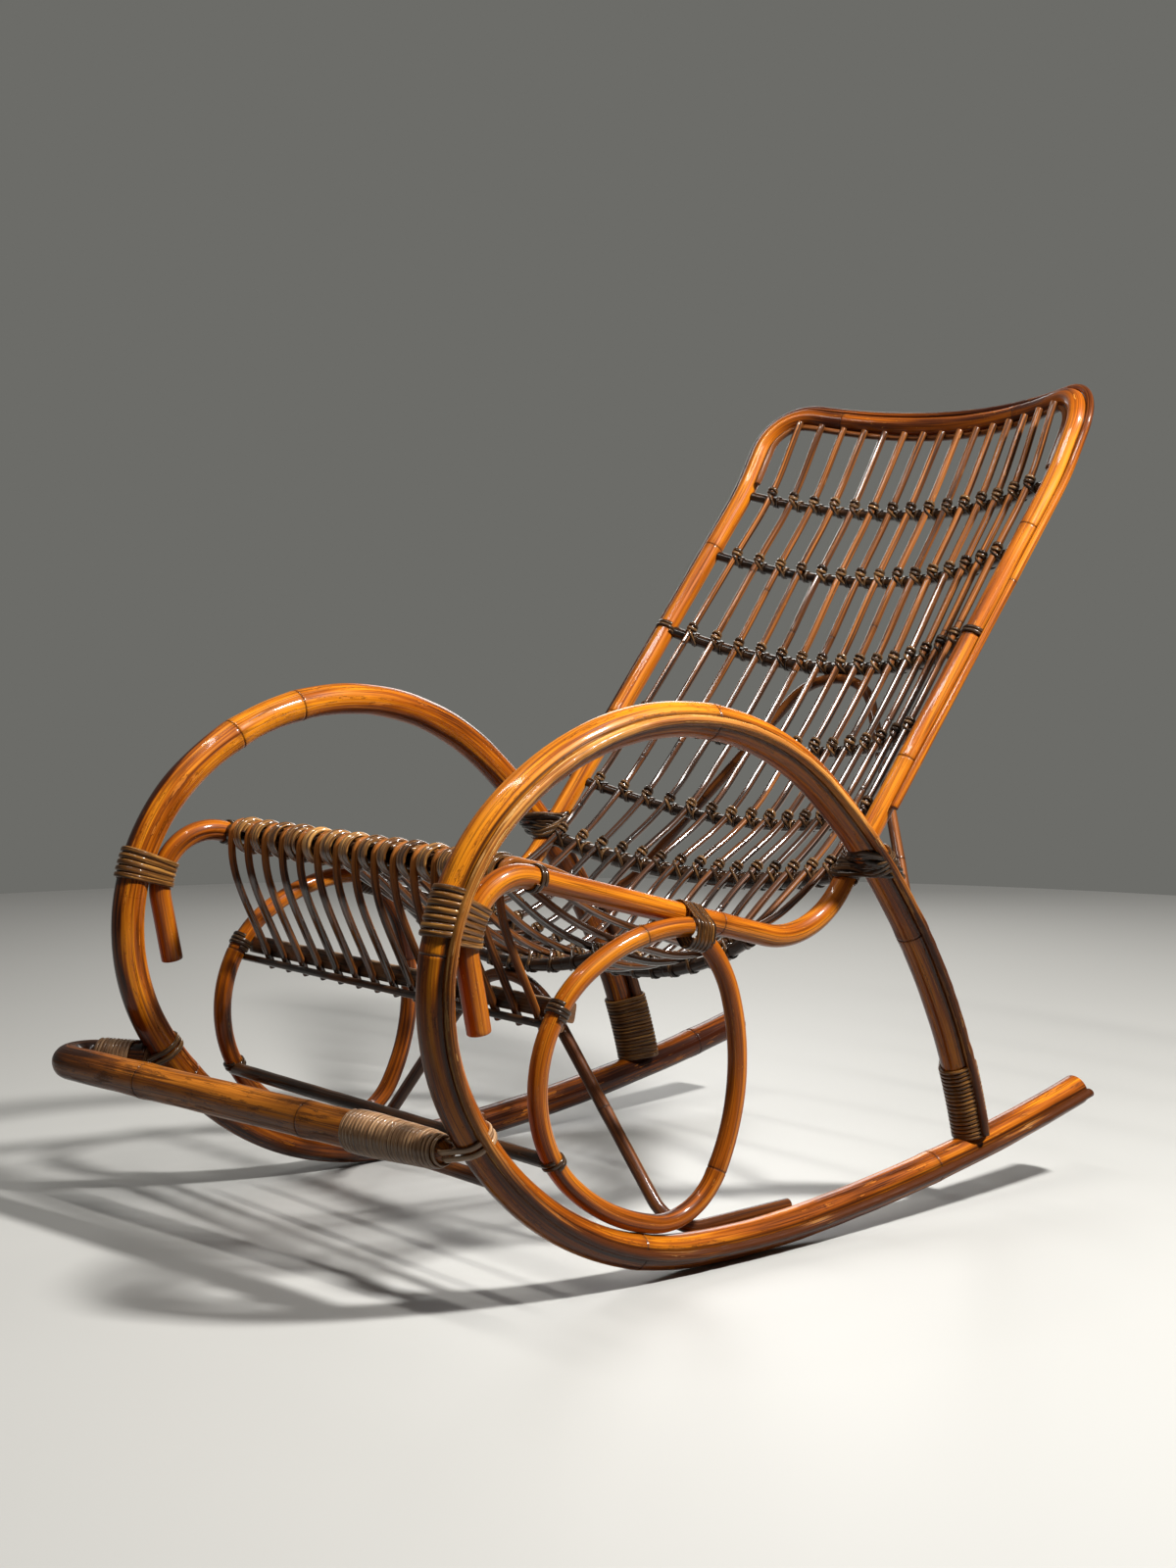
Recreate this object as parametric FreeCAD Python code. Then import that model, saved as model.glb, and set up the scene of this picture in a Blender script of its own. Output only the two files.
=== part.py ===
"""Rattan rocking chair: two pole hoops that rock, a bent seat and back frame, slats and cane bindings.

Millimetres. +X is the sitter's left, +Y is the rear and +Z is up. The origin is on the floor, midway
between the two rockers, where they touch it.
"""
import FreeCAD
import Part
import math
import os

V = FreeCAD.Vector

# Shared fits
CLEAR = 0.3                   # air between pieces that lie against each other
SLAT_CLEAR = 0.6              # air between a slat and the bars that it is bent over

# Hoops: each is one pole, bent as rocker, front, arm and rear leg
HOOP_SPACING = 580.0          # between the two hoops' centre lines
HOOP_POLE = 36.0
ROCKER_RADIUS = 1074.0         # where the rocker stands on the floor
ROCKER_REAR_RADIUS = 2810.0
ROCKER_REAR_ANGLE = 5.5       # the pole's turn, from level, where the flatter rear starts
ROCKER_REAR_REACH = 545.0     # from the floor contact to the rocker's rear end
ROCKER_FRONT_REACH = 66.5     # from the floor contact to the front bend
FRONT_BEND_RADIUS = 347.5
ARM_FRONT_RADIUS = 227.0
ARM_REAR_RADIUS = 317.5
LEG_RADIUS = 773.0
ARM_FRONT_ANGLE = 60.4        # the pole's turn, from level, where the arm's front bend starts
ARM_REAR_ANGLE = 138.5
LEG_ANGLE = 221.4

# Half-round edging strip on the outer side of each hoop
EDGING_WIDTH = 10.0
EDGING_HEIGHT = 9.0
EDGING_SHOULDER = 3.3         # height of the strip's flat sides
EDGING_TIP_GAP = 1.3          # between the strip's lower tip and the strip on the rocker

# Seat and back frame: one pole from front end to front end
FRAME_POLE = 24.0
SEAT_CORNER_Y = 135.0         # where the lines of seat and back meet
SEAT_CORNER_Z = 307.0
SEAT_SLOPE = 15.0             # degrees, falling to the rear
RECLINE = 37.8                # degrees from upright
HEAD_RECLINE = 29.0
BACK_LENGTH = 761.0           # from the seat corner to the top rail
HEAD_LENGTH = 121.0           # from the head's bend to the top rail
HEAD_BEND_RADIUS = 340.0
SEAT_CORNER_RADIUS = 110.0
FRONT_RAIL_RADIUS = 62.0
FRONT_RAIL_INSET = 4.0        # of the rail's front from the hoop's plane
FRONT_END_LEAN = 11.0         # degrees, of the hanging front end
FRONT_END_DROP = 71.0         # length of the hanging front end
TOP_CORNER_RADIUS = 58.0
TOP_BOW = 59.0                # how far the top rail bows to the rear
TOP_REACH = 0.9               # share of the top rail's half that the bow takes

# Rods along the back frame
BACK_EDGING_ROD = 9.0
BACK_EDGING_FOOT = 70.0       # from the hoop's crossing up to the edging rod's lower end
INNER_ROD = 8.0
INNER_ROD_FOOT = 16.0         # above the top crossbar

# Crossbars: name, where along the frame, bow, lean of the bow from straight down, diameter
TOP_ROW_DROP = 124.0          # of the top row below the top rail
BACK_ROWS = [
    ("back_crossbar_1", BACK_LENGTH - TOP_ROW_DROP, 57.0, 54.0, 12.0),
    ("back_crossbar_2", 538.0, 64.0, 52.2, 12.0),
    ("back_crossbar_3", 414.0, 77.0, 52.2, 15.0),
    ("back_crossbar_4", 290.0, 76.0, 52.2, 12.0),
    ("back_crossbar_5", 178.0, 66.0, 52.2, 12.0),
    ("back_crossbar_6", 92.0, 36.0, 36.0, 18.0),
]
SEAT_ROWS = [
    ("seat_crossbar_rear", 84.0, 76.0, 20.0, 14.0),
    ("seat_crossbar_front", 196.0, 80.0, -10.0, 14.0),
]

# Slats: each is one rod from the top rail to the apron
SLAT_COUNT = 15
SLAT_ROD = 8.5
SLAT_TOP_INSET = 35.7         # of the outer slats from the frame's inner side, at the top rail
SLAT_FRONT_INSET = 1.7        # the same at the seat's front
SLAT_TOP_GAP = 14.0           # from the top rail's centre line down to the slats' ends

# Front roll and apron
ROLL_POLE = 30.0
ROLL_AT = 106.0               # from the rail's front corner
APRON_Y = -224.0
APRON_Z = 276.0
APRON_BAR_HEIGHT = 20.0
APRON_BAR_THICK = 9.0
APRON_ROD = 8.0
APRON_ROD_DROP = 8.0          # of the front rod below the bar's middle
SLAT_STUB = 20.0              # of a slat below the apron's middle

# Rings under the seat
RING_POLE = 20.0
RING_WIDTH = 260.0
RING_Y = -128.0               # the rings' middle
RING_MIDDLE_Z = 205.0
RING_CONTACT_ANGLE = 12.5     # place on the rocker, by the pole's turn
RING_CUT_Y = -64.0            # the cut end in front of the tie
RING_CUT_RISE = 5.0           # degrees
RING_TIE_Y = -46.0            # the tie to the seat rail
RING_END_DROP = 15.0          # of the rear end below the cut end
RING_END_RISE = 42.0          # degrees
RING_STRETCHER = 15.0
RING_STRETCHER_Z = 138.0

# Lower rails and braces
ROCKER_STRETCHER = 15.0
ROCKER_STRETCHER_ANGLE = 45.0
FOOT_RAIL = 38.0
FOOT_RAIL_ANGLE = 53.5        # place on the hoops, by the pole's turn
FOOT_RAIL_AHEAD = 26.0        # of the rail's left end in front of the hoop's centre line
FOOT_RAIL_SKEW = 7.1          # degrees, further forward to the right
FOOT_RAIL_OUT = 41.0          # of the rail's turned end outside the right hoop
FOOT_RETURN_AHEAD = 26.0      # of the turned end's tip in front of the right hoop's centre line
FOOT_RETURN_ANGLE = 30.0      # degrees from straight across
FOOT_RETURN_LENGTH = 62.0
FOOT_STRAP = 5.0              # the pole's thinned ends, looped round the hoops
ARCH_POLE = 14.0
ARCH_APEX_RADIUS = 108.0
ARCH_FOOT_RADIUS = 40.0
ARCH_FOOT_LIFT = 30.0         # degrees round the rocker from its inner side
ARCH_TAIL = 165.0
BRACE_POLE = 13.0
BRACE_APEX_RADIUS = 90.0
BRACE_EASE = 70.0             # length of the bend that leads the brace on to the leg
BRACE_MEET_ANGLE = 241.0      # place on the rear leg, by the pole's turn
BRACE_FOOT_TURN = 25.0        # degrees round the leg from its inner side to its rear

# Cane bindings
CANE = 4.2
CANE_GAP = 0.7                # between turns
FRONT_TURNS = 7
FRONT_GAP = 2.5               # between turns of the front bindings
REAR_TURNS = 5
RING_TURNS = 5
LEG_TURNS = 15
LEG_BINDING_LIFT = 9.0        # of the lowest turn above the leg's end
FOOT_CANE = 4.6
FOOT_LEFT_TURNS = 22
FOOT_RIGHT_TURNS = 8
ROLL_CANE = 6.0
SPAN_LIMIT = 100.0            # degrees, the widest arc of a turn between two points

HALF = HOOP_SPACING / 2
HOOP_R = HOOP_POLE / 2
FRAME_R = FRAME_POLE / 2
SLAT_R = SLAT_ROD / 2
FRAME_X = HALF - HOOP_R - FRAME_R - CLEAR
HEAD_BEND_AT = BACK_LENGTH - HEAD_LENGTH
SLAT_SPAN_TOP = 2 * (FRAME_X - FRAME_R - SLAT_TOP_INSET)
SLAT_SPAN_FRONT = 2 * (FRAME_X - FRAME_R - SLAT_FRONT_INSET)
CANE_PITCH = CANE + CANE_GAP
FRONT_PITCH = CANE + FRONT_GAP
FOOT_PITCH = FOOT_CANE + CANE_GAP
FRONT_X = HALF - FRONT_RAIL_INSET
SIDES = (("left", 1), ("right", -1))

volume_faults = []


def sin(degrees):
    return math.sin(math.radians(degrees))


def cos(degrees):
    return math.cos(math.radians(degrees))


def tan(degrees):
    return math.tan(math.radians(degrees))


def unit(vector):
    """Returns the vector at length one."""
    return vector * (1 / vector.Length)


def mirrored(point):
    """Returns the point on the other side of the chair."""
    return V(-point.x, point.y, point.z)


# Paths

def arc_edge(start, tangent, end):
    """Returns the arc, or the straight edge, that leaves start along tangent and ends at end."""
    chord = end - start
    cosine = max(-1.0, min(1.0, unit(chord).dot(tangent)))
    turn = math.acos(cosine)
    if turn < 1e-4:
        return Part.LineSegment(start, end).toShape()
    across = unit(chord.cross(tangent).cross(chord))
    middle = start + chord * 0.5 + across * (chord.Length / 2 * math.tan(turn / 2))
    return Part.Arc(start, middle, end).toShape()


def biarc(start, tangent, end, end_tangent):
    """Returns the two tangent arcs, or the straight edge, from one point and direction to another."""
    chord = end - start
    if unit(chord).dot(tangent) > 1 - 1e-9 and unit(chord).dot(end_tangent) > 1 - 1e-9:
        return [Part.LineSegment(start, end).toShape()]
    both = tangent + end_tangent
    spread = 2 * (1 - tangent.dot(end_tangent))
    along = chord.dot(both)
    if spread < 1e-9:
        reach = chord.dot(chord) / (4 * chord.dot(end_tangent))
    else:
        reach = (math.sqrt(along * along + spread * chord.dot(chord)) - along) / spread
    joint = (start + end + (tangent - end_tangent) * reach) * 0.5
    first = arc_edge(start, tangent, joint)
    joint_tangent = unit(joint - start) * (2 * unit(joint - start).dot(tangent)) - tangent
    return [first, arc_edge(joint, unit(joint_tangent), end)]


def through(nodes):
    """Returns the edges of the smooth path through (point, direction) pairs."""
    edges = []
    for (start, tangent), (end, end_tangent) in zip(nodes, nodes[1:]):
        edges += biarc(start, tangent, end, end_tangent)
    return edges


def route(points, radii):
    """Returns the edges of straight runs joined by tangent arcs, one radius for each inner point."""
    edges = []
    here = points[0]
    for before, corner, after, radius in zip(points, points[1:], points[2:], radii):
        come = unit(corner - before)
        leave = unit(after - corner)
        half_turn = math.acos(max(-1.0, min(1.0, come.dot(leave)))) / 2
        cut = radius * math.tan(half_turn)
        start = corner - come * cut
        end = corner + leave * cut
        inward = unit(leave - come)
        middle = corner + inward * (radius / math.cos(half_turn) - radius)
        edges.append(Part.LineSegment(here, start).toShape())
        edges.append(Part.Arc(start, middle, end).toShape())
        here = end
    edges.append(Part.LineSegment(here, points[-1]).toShape())
    return edges


def tube(edges, diameter):
    """Returns a round pole along the edges, and notes any pole whose volume is wrong."""
    first = edges[0]
    start = first.valueAt(first.FirstParameter)
    heading = first.tangentAt(first.FirstParameter)
    profile = Part.Wire([Part.makeCircle(diameter / 2, start, heading)])
    sweep = Part.BRepOffsetAPI.MakePipeShell(Part.Wire(edges))
    sweep.add(profile)
    sweep.build()
    sweep.makeSolid()
    solid = sweep.shape()
    expected = math.pi * diameter * diameter / 4 * sum(edge.Length for edge in edges)
    if not solid.isValid() or abs(solid.Volume / expected - 1) > 0.01:
        volume_faults.append((round(expected), round(solid.Volume)))
    return solid


def coped(pole, *envelopes):
    """Returns the pole with its ends cut to lie against the poles that the envelopes go round."""
    rest = pole
    for envelope in envelopes:
        rest = max(rest.cut(envelope).Solids, key=lambda solid: solid.Volume)
    return rest


# Hoop

def hoop_bends():
    """Returns the hoop's bends as (first angle, last angle, radius, centre y, centre z)."""
    change = ROCKER_REAR_RADIUS - ROCKER_RADIUS
    y = change * -sin(ROCKER_REAR_ANGLE)
    z = HOOP_R + ROCKER_RADIUS + change * cos(ROCKER_REAR_ANGLE)
    rear = -math.degrees(math.asin((ROCKER_REAR_REACH - y) / ROCKER_REAR_RADIUS))
    front = math.degrees(math.asin(ROCKER_FRONT_REACH / ROCKER_RADIUS))
    plan = [
        (rear, -ROCKER_REAR_ANGLE, ROCKER_REAR_RADIUS),
        (-ROCKER_REAR_ANGLE, front, ROCKER_RADIUS),
        (front, ARM_FRONT_ANGLE, FRONT_BEND_RADIUS),
        (ARM_FRONT_ANGLE, ARM_REAR_ANGLE, ARM_FRONT_RADIUS),
        (ARM_REAR_ANGLE, LEG_ANGLE, ARM_REAR_RADIUS),
        (LEG_ANGLE, 300.0, LEG_RADIUS),
    ]
    bends = []
    radius_before = ROCKER_REAR_RADIUS
    for first, last, radius in plan:
        y += (radius - radius_before) * sin(first)
        z += (radius - radius_before) * cos(first)
        bends.append((first, last, radius, y, z))
        radius_before = radius
    return bends


HOOP_BENDS = hoop_bends()
REAR_BEND = HOOP_BENDS[0]
ARM_BEND = HOOP_BENDS[3]
HOOP_REAR_ANGLE = REAR_BEND[0]


def hoop_point(angle, x, inward=0.0):
    """Returns the point of the hoop's centre line where the pole has turned by angle.

    The point lies at x, and is moved towards the inside of the hoop by inward.
    """
    for first, last, radius, y, z in HOOP_BENDS:
        if angle <= last:
            break
    reach = radius - inward
    return V(x, y - reach * sin(angle), z - reach * cos(angle))


def hoop_heading(angle):
    """Returns the hoop's direction, from its rear end forwards, at a turn of angle."""
    return V(0, -cos(angle), sin(angle))


def hoop_inward(angle):
    """Returns the direction to the inside of the hoop at a turn of angle."""
    return V(0, sin(angle), cos(angle))


def hoop_radius(angle):
    """Returns the bend's radius at a turn of angle."""
    return next(bend[2] for bend in HOOP_BENDS if angle <= bend[1])


def hoop_edges(first_angle, last_angle, x):
    """Returns the arcs of the hoop's centre line between two turns, in the plane at x."""
    edges = []
    for first, last, *_ in HOOP_BENDS:
        start = max(first, first_angle)
        end = min(last, last_angle)
        if end > start:
            stops = (start, (start + end) / 2, end)
            edges.append(Part.Arc(*[hoop_point(stop, x) for stop in stops]).toShape())
    return edges


def solve(miss, low, high):
    """Returns where miss changes sign between low and high, by halving."""
    low_is_positive = miss(low) > 0
    for _ in range(60):
        middle = (low + high) / 2
        if (miss(middle) > 0) == low_is_positive:
            low = middle
        else:
            high = middle
    return (low + high) / 2


def leg_end_miss(angle):
    """Returns how far a leg that ends at this turn stands from the top of its own rocker."""
    *_, radius, y, z = REAR_BEND
    return (hoop_point(angle, 0) - V(0, y, z)).Length - (radius - HOOP_R - CLEAR)


LEG_END_ANGLE = solve(leg_end_miss, LEG_ANGLE, 300.0)


def rocker_angle(y):
    """Returns the pole's turn where the rocker passes y."""
    return solve(lambda angle: hoop_point(angle, 0).y - y, HOOP_REAR_ANGLE, ARM_FRONT_ANGLE)


# Seat and back frame

BACK_RISE = V(0, sin(RECLINE), cos(RECLINE))
HEAD_RISE = V(0, sin(HEAD_RECLINE), cos(HEAD_RECLINE))
HEAD_REAR = V(0, cos(HEAD_RECLINE), -sin(HEAD_RECLINE))
SEAT_FALL = V(0, cos(SEAT_SLOPE), -sin(SEAT_SLOPE))
SEAT_CORNER = V(FRAME_X, SEAT_CORNER_Y, SEAT_CORNER_Z)
HEAD_BEND = SEAT_CORNER + BACK_RISE * HEAD_BEND_AT
TOP_CORNER = HEAD_BEND + HEAD_RISE * (BACK_LENGTH - HEAD_BEND_AT)
TOP_SLOPE_BOW = TOP_BOW / (1 - TOP_REACH * (FRAME_X - TOP_CORNER_RADIUS) / (2 * FRAME_X))
TOP_MIDDLE = V(0, TOP_CORNER.y, TOP_CORNER.z) + HEAD_REAR * TOP_SLOPE_BOW


def front_bend_centre(seat_run):
    """Returns the centre of the rail's front bend if the seat line is seat_run long."""
    corner = SEAT_CORNER - SEAT_FALL * seat_run
    half_turn = (90 + FRONT_END_LEAN + SEAT_SLOPE) / 2
    bisector = unit(SEAT_FALL + V(0, sin(FRONT_END_LEAN), -cos(FRONT_END_LEAN)))
    return corner + bisector * (FRONT_RAIL_RADIUS / cos(half_turn))


def front_contact_miss(seat_run):
    """Returns how far the rail's front bend, on a seat line of seat_run, reaches past the hoop's inside."""
    centre = front_bend_centre(seat_run)
    *_, radius, y, z = ARM_BEND
    reach = math.hypot(centre.y - y, centre.z - z) + FRONT_RAIL_RADIUS
    return reach - (radius - HOOP_R - FRAME_R - CLEAR)


SEAT_RUN_INSIDE = (SEAT_CORNER_Y - ARM_BEND[3]) / cos(SEAT_SLOPE)
SEAT_RUN = solve(front_contact_miss, SEAT_RUN_INSIDE, SEAT_RUN_INSIDE + 2 * ARM_FRONT_RADIUS)
FRONT_CENTRE = front_bend_centre(SEAT_RUN)
FRONT_ANGLE = math.degrees(math.atan2(ARM_BEND[3] - FRONT_CENTRE.y, ARM_BEND[4] - FRONT_CENTRE.z))


def frame_side():
    """Returns the frame's corner points on the left side, from the front end to the top corner."""
    seat_front = SEAT_CORNER - SEAT_FALL * SEAT_RUN
    front = V(FRONT_X, seat_front.y, seat_front.z)
    cut = FRONT_RAIL_RADIUS * tan((90 + FRONT_END_LEAN + SEAT_SLOPE) / 2)
    end = front + V(0, sin(FRONT_END_LEAN), -cos(FRONT_END_LEAN)) * (cut + FRONT_END_DROP)
    return [end, front, SEAT_CORNER, HEAD_BEND, TOP_CORNER]


FRAME_POINTS = frame_side()
FRAME_RADII = [FRONT_RAIL_RADIUS, SEAT_CORNER_RADIUS, HEAD_BEND_RADIUS, TOP_CORNER_RADIUS]


def two_sided(points, middle):
    """Returns the points, a middle point and the same points mirrored, in order."""
    return points + [middle] + [mirrored(point) for point in reversed(points)]


def bow_radius(run):
    """Returns the radius of the bend in the middle of a bowed top rail whose half is run wide."""
    return TOP_REACH * (math.hypot(run, TOP_SLOPE_BOW) - TOP_CORNER_RADIUS) * run / TOP_SLOPE_BOW


def bow_depth(x, run):
    """Returns how far a bowed top rail whose half is run wide lies to the rear at x."""
    radius = bow_radius(run)
    half_turn = math.atan2(TOP_SLOPE_BOW, run)
    if abs(x) >= radius * math.sin(half_turn):
        return TOP_SLOPE_BOW * (1 - abs(x) / run)
    middle = TOP_SLOPE_BOW - radius * (1 / math.cos(half_turn) - 1)
    return middle - radius + math.sqrt(radius * radius - x * x)


def frame_edges():
    """Returns the path of the seat and back frame."""
    radii = FRAME_RADII + [bow_radius(FRAME_X)] + FRAME_RADII[::-1]
    return route(two_sided(FRAME_POINTS, TOP_MIDDLE), radii)


def top_rod_edges(offset, foot):
    """Returns the path of a rod that follows the frame's top at an offset, out of it or, below 0, into it."""
    side = V(offset, 0, 0)
    rise = HEAD_RISE * offset
    points = [foot + side, HEAD_BEND + side, TOP_CORNER + side + rise]
    radii = [HEAD_BEND_RADIUS, TOP_CORNER_RADIUS + offset]
    if foot.z > HEAD_BEND.z:
        points = [foot + side, TOP_CORNER + side + rise]
        radii = [TOP_CORNER_RADIUS + offset]
    radii = radii + [bow_radius(FRAME_X + offset)] + radii[::-1]
    return route(two_sided(points, TOP_MIDDLE + rise), radii)


def back_place(distance):
    """Returns the point of the left stile at a distance up from the seat corner."""
    if distance <= HEAD_BEND_AT:
        return SEAT_CORNER + BACK_RISE * distance
    return HEAD_BEND + HEAD_RISE * (distance - HEAD_BEND_AT)


def seat_place(distance):
    """Returns the point of the left seat rail at a distance forward of the seat corner."""
    front = FRAME_POINTS[1]
    return SEAT_CORNER + unit(front - SEAT_CORNER) * distance


# Crossbars and slats

class Crossbar:
    """A bar that bows away from the sitter between two points of the frame."""

    def __init__(self, name, end, bow, lean, diameter):
        self.name = name
        self.end = end
        self.bow = bow
        self.away = V(0, sin(lean), -cos(lean))
        self.diameter = diameter
        self.radius = (end.x * end.x + bow * bow) / (2 * bow)

    def point(self, x, towards=0.0):
        """Returns the bar's centre line at x, or a line nearer the sitter by towards."""
        reach = self.radius - towards
        depth = self.bow - self.radius + math.sqrt(reach * reach - x * x)
        return V(x, self.end.y, self.end.z) + self.away * depth

    def solid(self, frame_envelope):
        """Returns the bar, its ends cut to lie against the frame."""
        ends = (self.end.x, 0, -self.end.x)
        arc = Part.Arc(*[self.point(x) for x in ends]).toShape()
        return coped(tube([arc], self.diameter), frame_envelope)

    def slat_point(self, x):
        """Returns where a slat at x lies on the bar."""
        return self.point(x, self.diameter / 2 + SLAT_R + SLAT_CLEAR)


def crossbars():
    """Returns the crossbars from the top row of the back to the front row of the seat."""
    back = [Crossbar(name, back_place(at), *rest) for name, at, *rest in BACK_ROWS]
    seat = [Crossbar(name, seat_place(at), *rest) for name, at, *rest in SEAT_ROWS]
    return back + seat


ROLL = seat_place((FRAME_POINTS[1] - SEAT_CORNER).Length - ROLL_AT)
ROLL_WRAP = ROLL_POLE / 2 + SLAT_R + CLEAR
INNER_ROD_OFFSET = -FRAME_R - INNER_ROD / 2 - CLEAR


def tangent_angle(point, side):
    """Returns the place on the roll, in degrees from level front, where a slat to or from point leaves it."""
    away = V(0, point.y - ROLL.y, point.z - ROLL.z)
    bearing = math.degrees(math.atan2(away.z, -away.y))
    return bearing + side * math.degrees(math.acos(ROLL_WRAP / away.Length))


def roll_node(angle, x):
    """Returns the point and direction of a slat on the roll at an angle from level front."""
    point = V(x, ROLL.y - ROLL_WRAP * cos(angle), ROLL.z + ROLL_WRAP * sin(angle))
    return point, V(0, -sin(angle), -cos(angle))


def slat_top(x):
    """Returns a slat's upper end, in front of the inner rod."""
    run = FRAME_X + INNER_ROD_OFFSET
    depth = bow_depth(x, run) - INNER_ROD / 2 - SLAT_R - 2 * SLAT_CLEAR
    return V(x, TOP_CORNER.y, TOP_CORNER.z) - HEAD_RISE * SLAT_TOP_GAP + HEAD_REAR * depth


def slat_edges(share, rows):
    """Returns the path of one slat, from the top rail to below the apron.

    Args:
        share: the slat's place across the chair, from -1 to 1.
        rows: the crossbars in order from the top.
    """
    stops = [TOP_CORNER] + [row.end for row in rows] + [ROLL]
    lengths = [(after - before).Length for before, after in zip(stops, stops[1:])]
    shares = [sum(lengths[:count]) / sum(lengths) for count in range(len(rows) + 1)]
    spans = [SLAT_SPAN_TOP + (SLAT_SPAN_FRONT - SLAT_SPAN_TOP) * along for along in shares]
    points = [slat_top(share * SLAT_SPAN_TOP / 2)]
    points += [row.slat_point(share * span / 2) for row, span in zip(rows, spans[1:])]
    x_front = share * SLAT_SPAN_FRONT / 2
    meet = roll_node(tangent_angle(points[-1], -1), x_front)
    part = roll_node(tangent_angle(V(0, APRON_Y, APRON_Z), 1), x_front)
    line = points + [meet[0]]
    nodes = [(line[0], unit(line[1] - line[0]))]
    for before, here, after in zip(line, line[1:], line[2:]):
        come = here - before
        leave = after - here
        nodes.append((here, unit(unit(come) * leave.Length + unit(leave) * come.Length)))
    end = V(x_front, APRON_Y, APRON_Z) + part[1] * SLAT_STUB
    return through(nodes + [meet, part, (end, part[1])])


# Cane windings

def belt(circles):
    """Returns the arcs of a band round several circles, as (u, v, radius, first angle, last angle)."""
    steps = 720
    best = []
    for step in range(steps + 1):
        angle = 360.0 * step / steps
        reaches = [u * cos(angle) + v * sin(angle) + r for u, v, r in circles]
        best.append(reaches.index(max(reaches)))
    starts = [step for step in range(1, steps + 1) if best[step] != best[step - 1]]
    if not starts:
        return [(*circles[0], 0.0, 360.0)]
    turns = []
    for step in starts:
        u0, v0, r0 = circles[best[step - 1]]
        u1, v1, r1 = circles[best[step]]

        def lead(angle, u=u1 - u0, v=v1 - v0, r=r1 - r0):
            return u * cos(angle) + v * sin(angle) + r

        turns.append((solve(lead, 360.0 * (step - 1) / steps, 360.0 * step / steps), best[step]))
    arcs = []
    for (first, index), (last, _) in zip(turns, turns[1:] + [(turns[0][0] + 360.0, 0)]):
        arcs.append((*circles[index], first, last))
    return arcs


def turn_nodes(circles):
    """Returns one turn of a band as (u, v, du, dv, length so far) and the turn's whole length."""
    nodes = []
    length = 0.0
    arcs = belt(circles)
    for number, (u, v, r, first, last) in enumerate(arcs):
        pieces = max(1, math.ceil((last - first) / SPAN_LIMIT))
        for piece in range(pieces + 1):
            angle = first + (last - first) * piece / pieces
            along = length + math.radians(angle - first) * r
            nodes.append((u + r * cos(angle), v + r * sin(angle), -sin(angle), cos(angle), along))
        length += math.radians(last - first) * r
        next_u, next_v, next_r, next_first, _ = arcs[(number + 1) % len(arcs)]
        length += math.hypot(next_u + next_r * cos(next_first) - nodes[-1][0],
                             next_v + next_r * sin(next_first) - nodes[-1][1])
    if len(arcs) == 1:
        nodes.pop()
    return nodes, length


def least_gap(edges, cane, turns):
    """Returns the least air between one turn of a winding and the next, measured on points."""
    points = []
    for edge in edges:
        points += edge.discretize(4)[:-1]
    apart = int(0.6 * len(points) / turns)
    least = min((points[i] - points[j]).Length
                for i in range(len(points)) for j in range(i + apart, min(len(points), i + 3 * apart)))
    return least - cane


def winding(name, axis, circles_at, turns, cane, pitch):
    """Returns one unbroken cane wound round a bundle of poles.

    Args:
        name: the piece's name, for the printed gap.
        axis: gives (origin, first cross direction, second cross direction) at a distance along the bundle.
        circles_at: gives the poles' (u, v, radius) at that distance.
        turns: how many turns.
        cane: the cane's diameter.
        pitch: the distance between turns.
    """
    nodes = []
    for turn in range(turns):
        start = (turn - turns / 2) * pitch
        circles = [(u, v, r + CLEAR + cane / 2) for u, v, r in circles_at(start + pitch / 2)]
        around, length = turn_nodes(circles)
        for u, v, du, dv, along in around:
            origin, first, second = axis(start + pitch * along / length)
            forward = unit(first.cross(second))
            heading = unit((first * du + second * dv) * length + forward * pitch)
            nodes.append((origin + first * u + second * v, heading))
    (start, tangent), (end, end_tangent) = nodes[0], nodes[-1]
    nodes.insert(0, (start - tangent * cane, tangent))
    nodes.append((end + end_tangent * cane, end_tangent))
    edges = through(nodes)
    print(name, "turns", turns, "least gap", round(least_gap(edges, cane, turns), 2))
    return tube(edges, cane)


def straight_axis(origin, first, second):
    """Returns the axis function of a straight bundle."""
    forward = unit(first.cross(second))
    return lambda distance: (origin + forward * distance, first, second)


def hoop_axis(angle, x, outward_sign):
    """Returns the axis function of a bundle that follows the hoop about a turn of angle."""
    def at(distance):
        here = angle + math.degrees(distance / hoop_radius(angle))
        return hoop_point(here, x), hoop_inward(here), V(outward_sign, 0, 0)
    return at


# Pieces of one side

def hoop():
    """Returns the left hoop."""
    return tube(hoop_edges(HOOP_REAR_ANGLE, LEG_END_ANGLE, HALF), HOOP_POLE)


def hoop_envelope():
    """Returns the left hoop's space, with its clearance."""
    return tube(hoop_edges(HOOP_REAR_ANGLE, LEG_END_ANGLE, HALF), HOOP_POLE + 2 * CLEAR)


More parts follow.
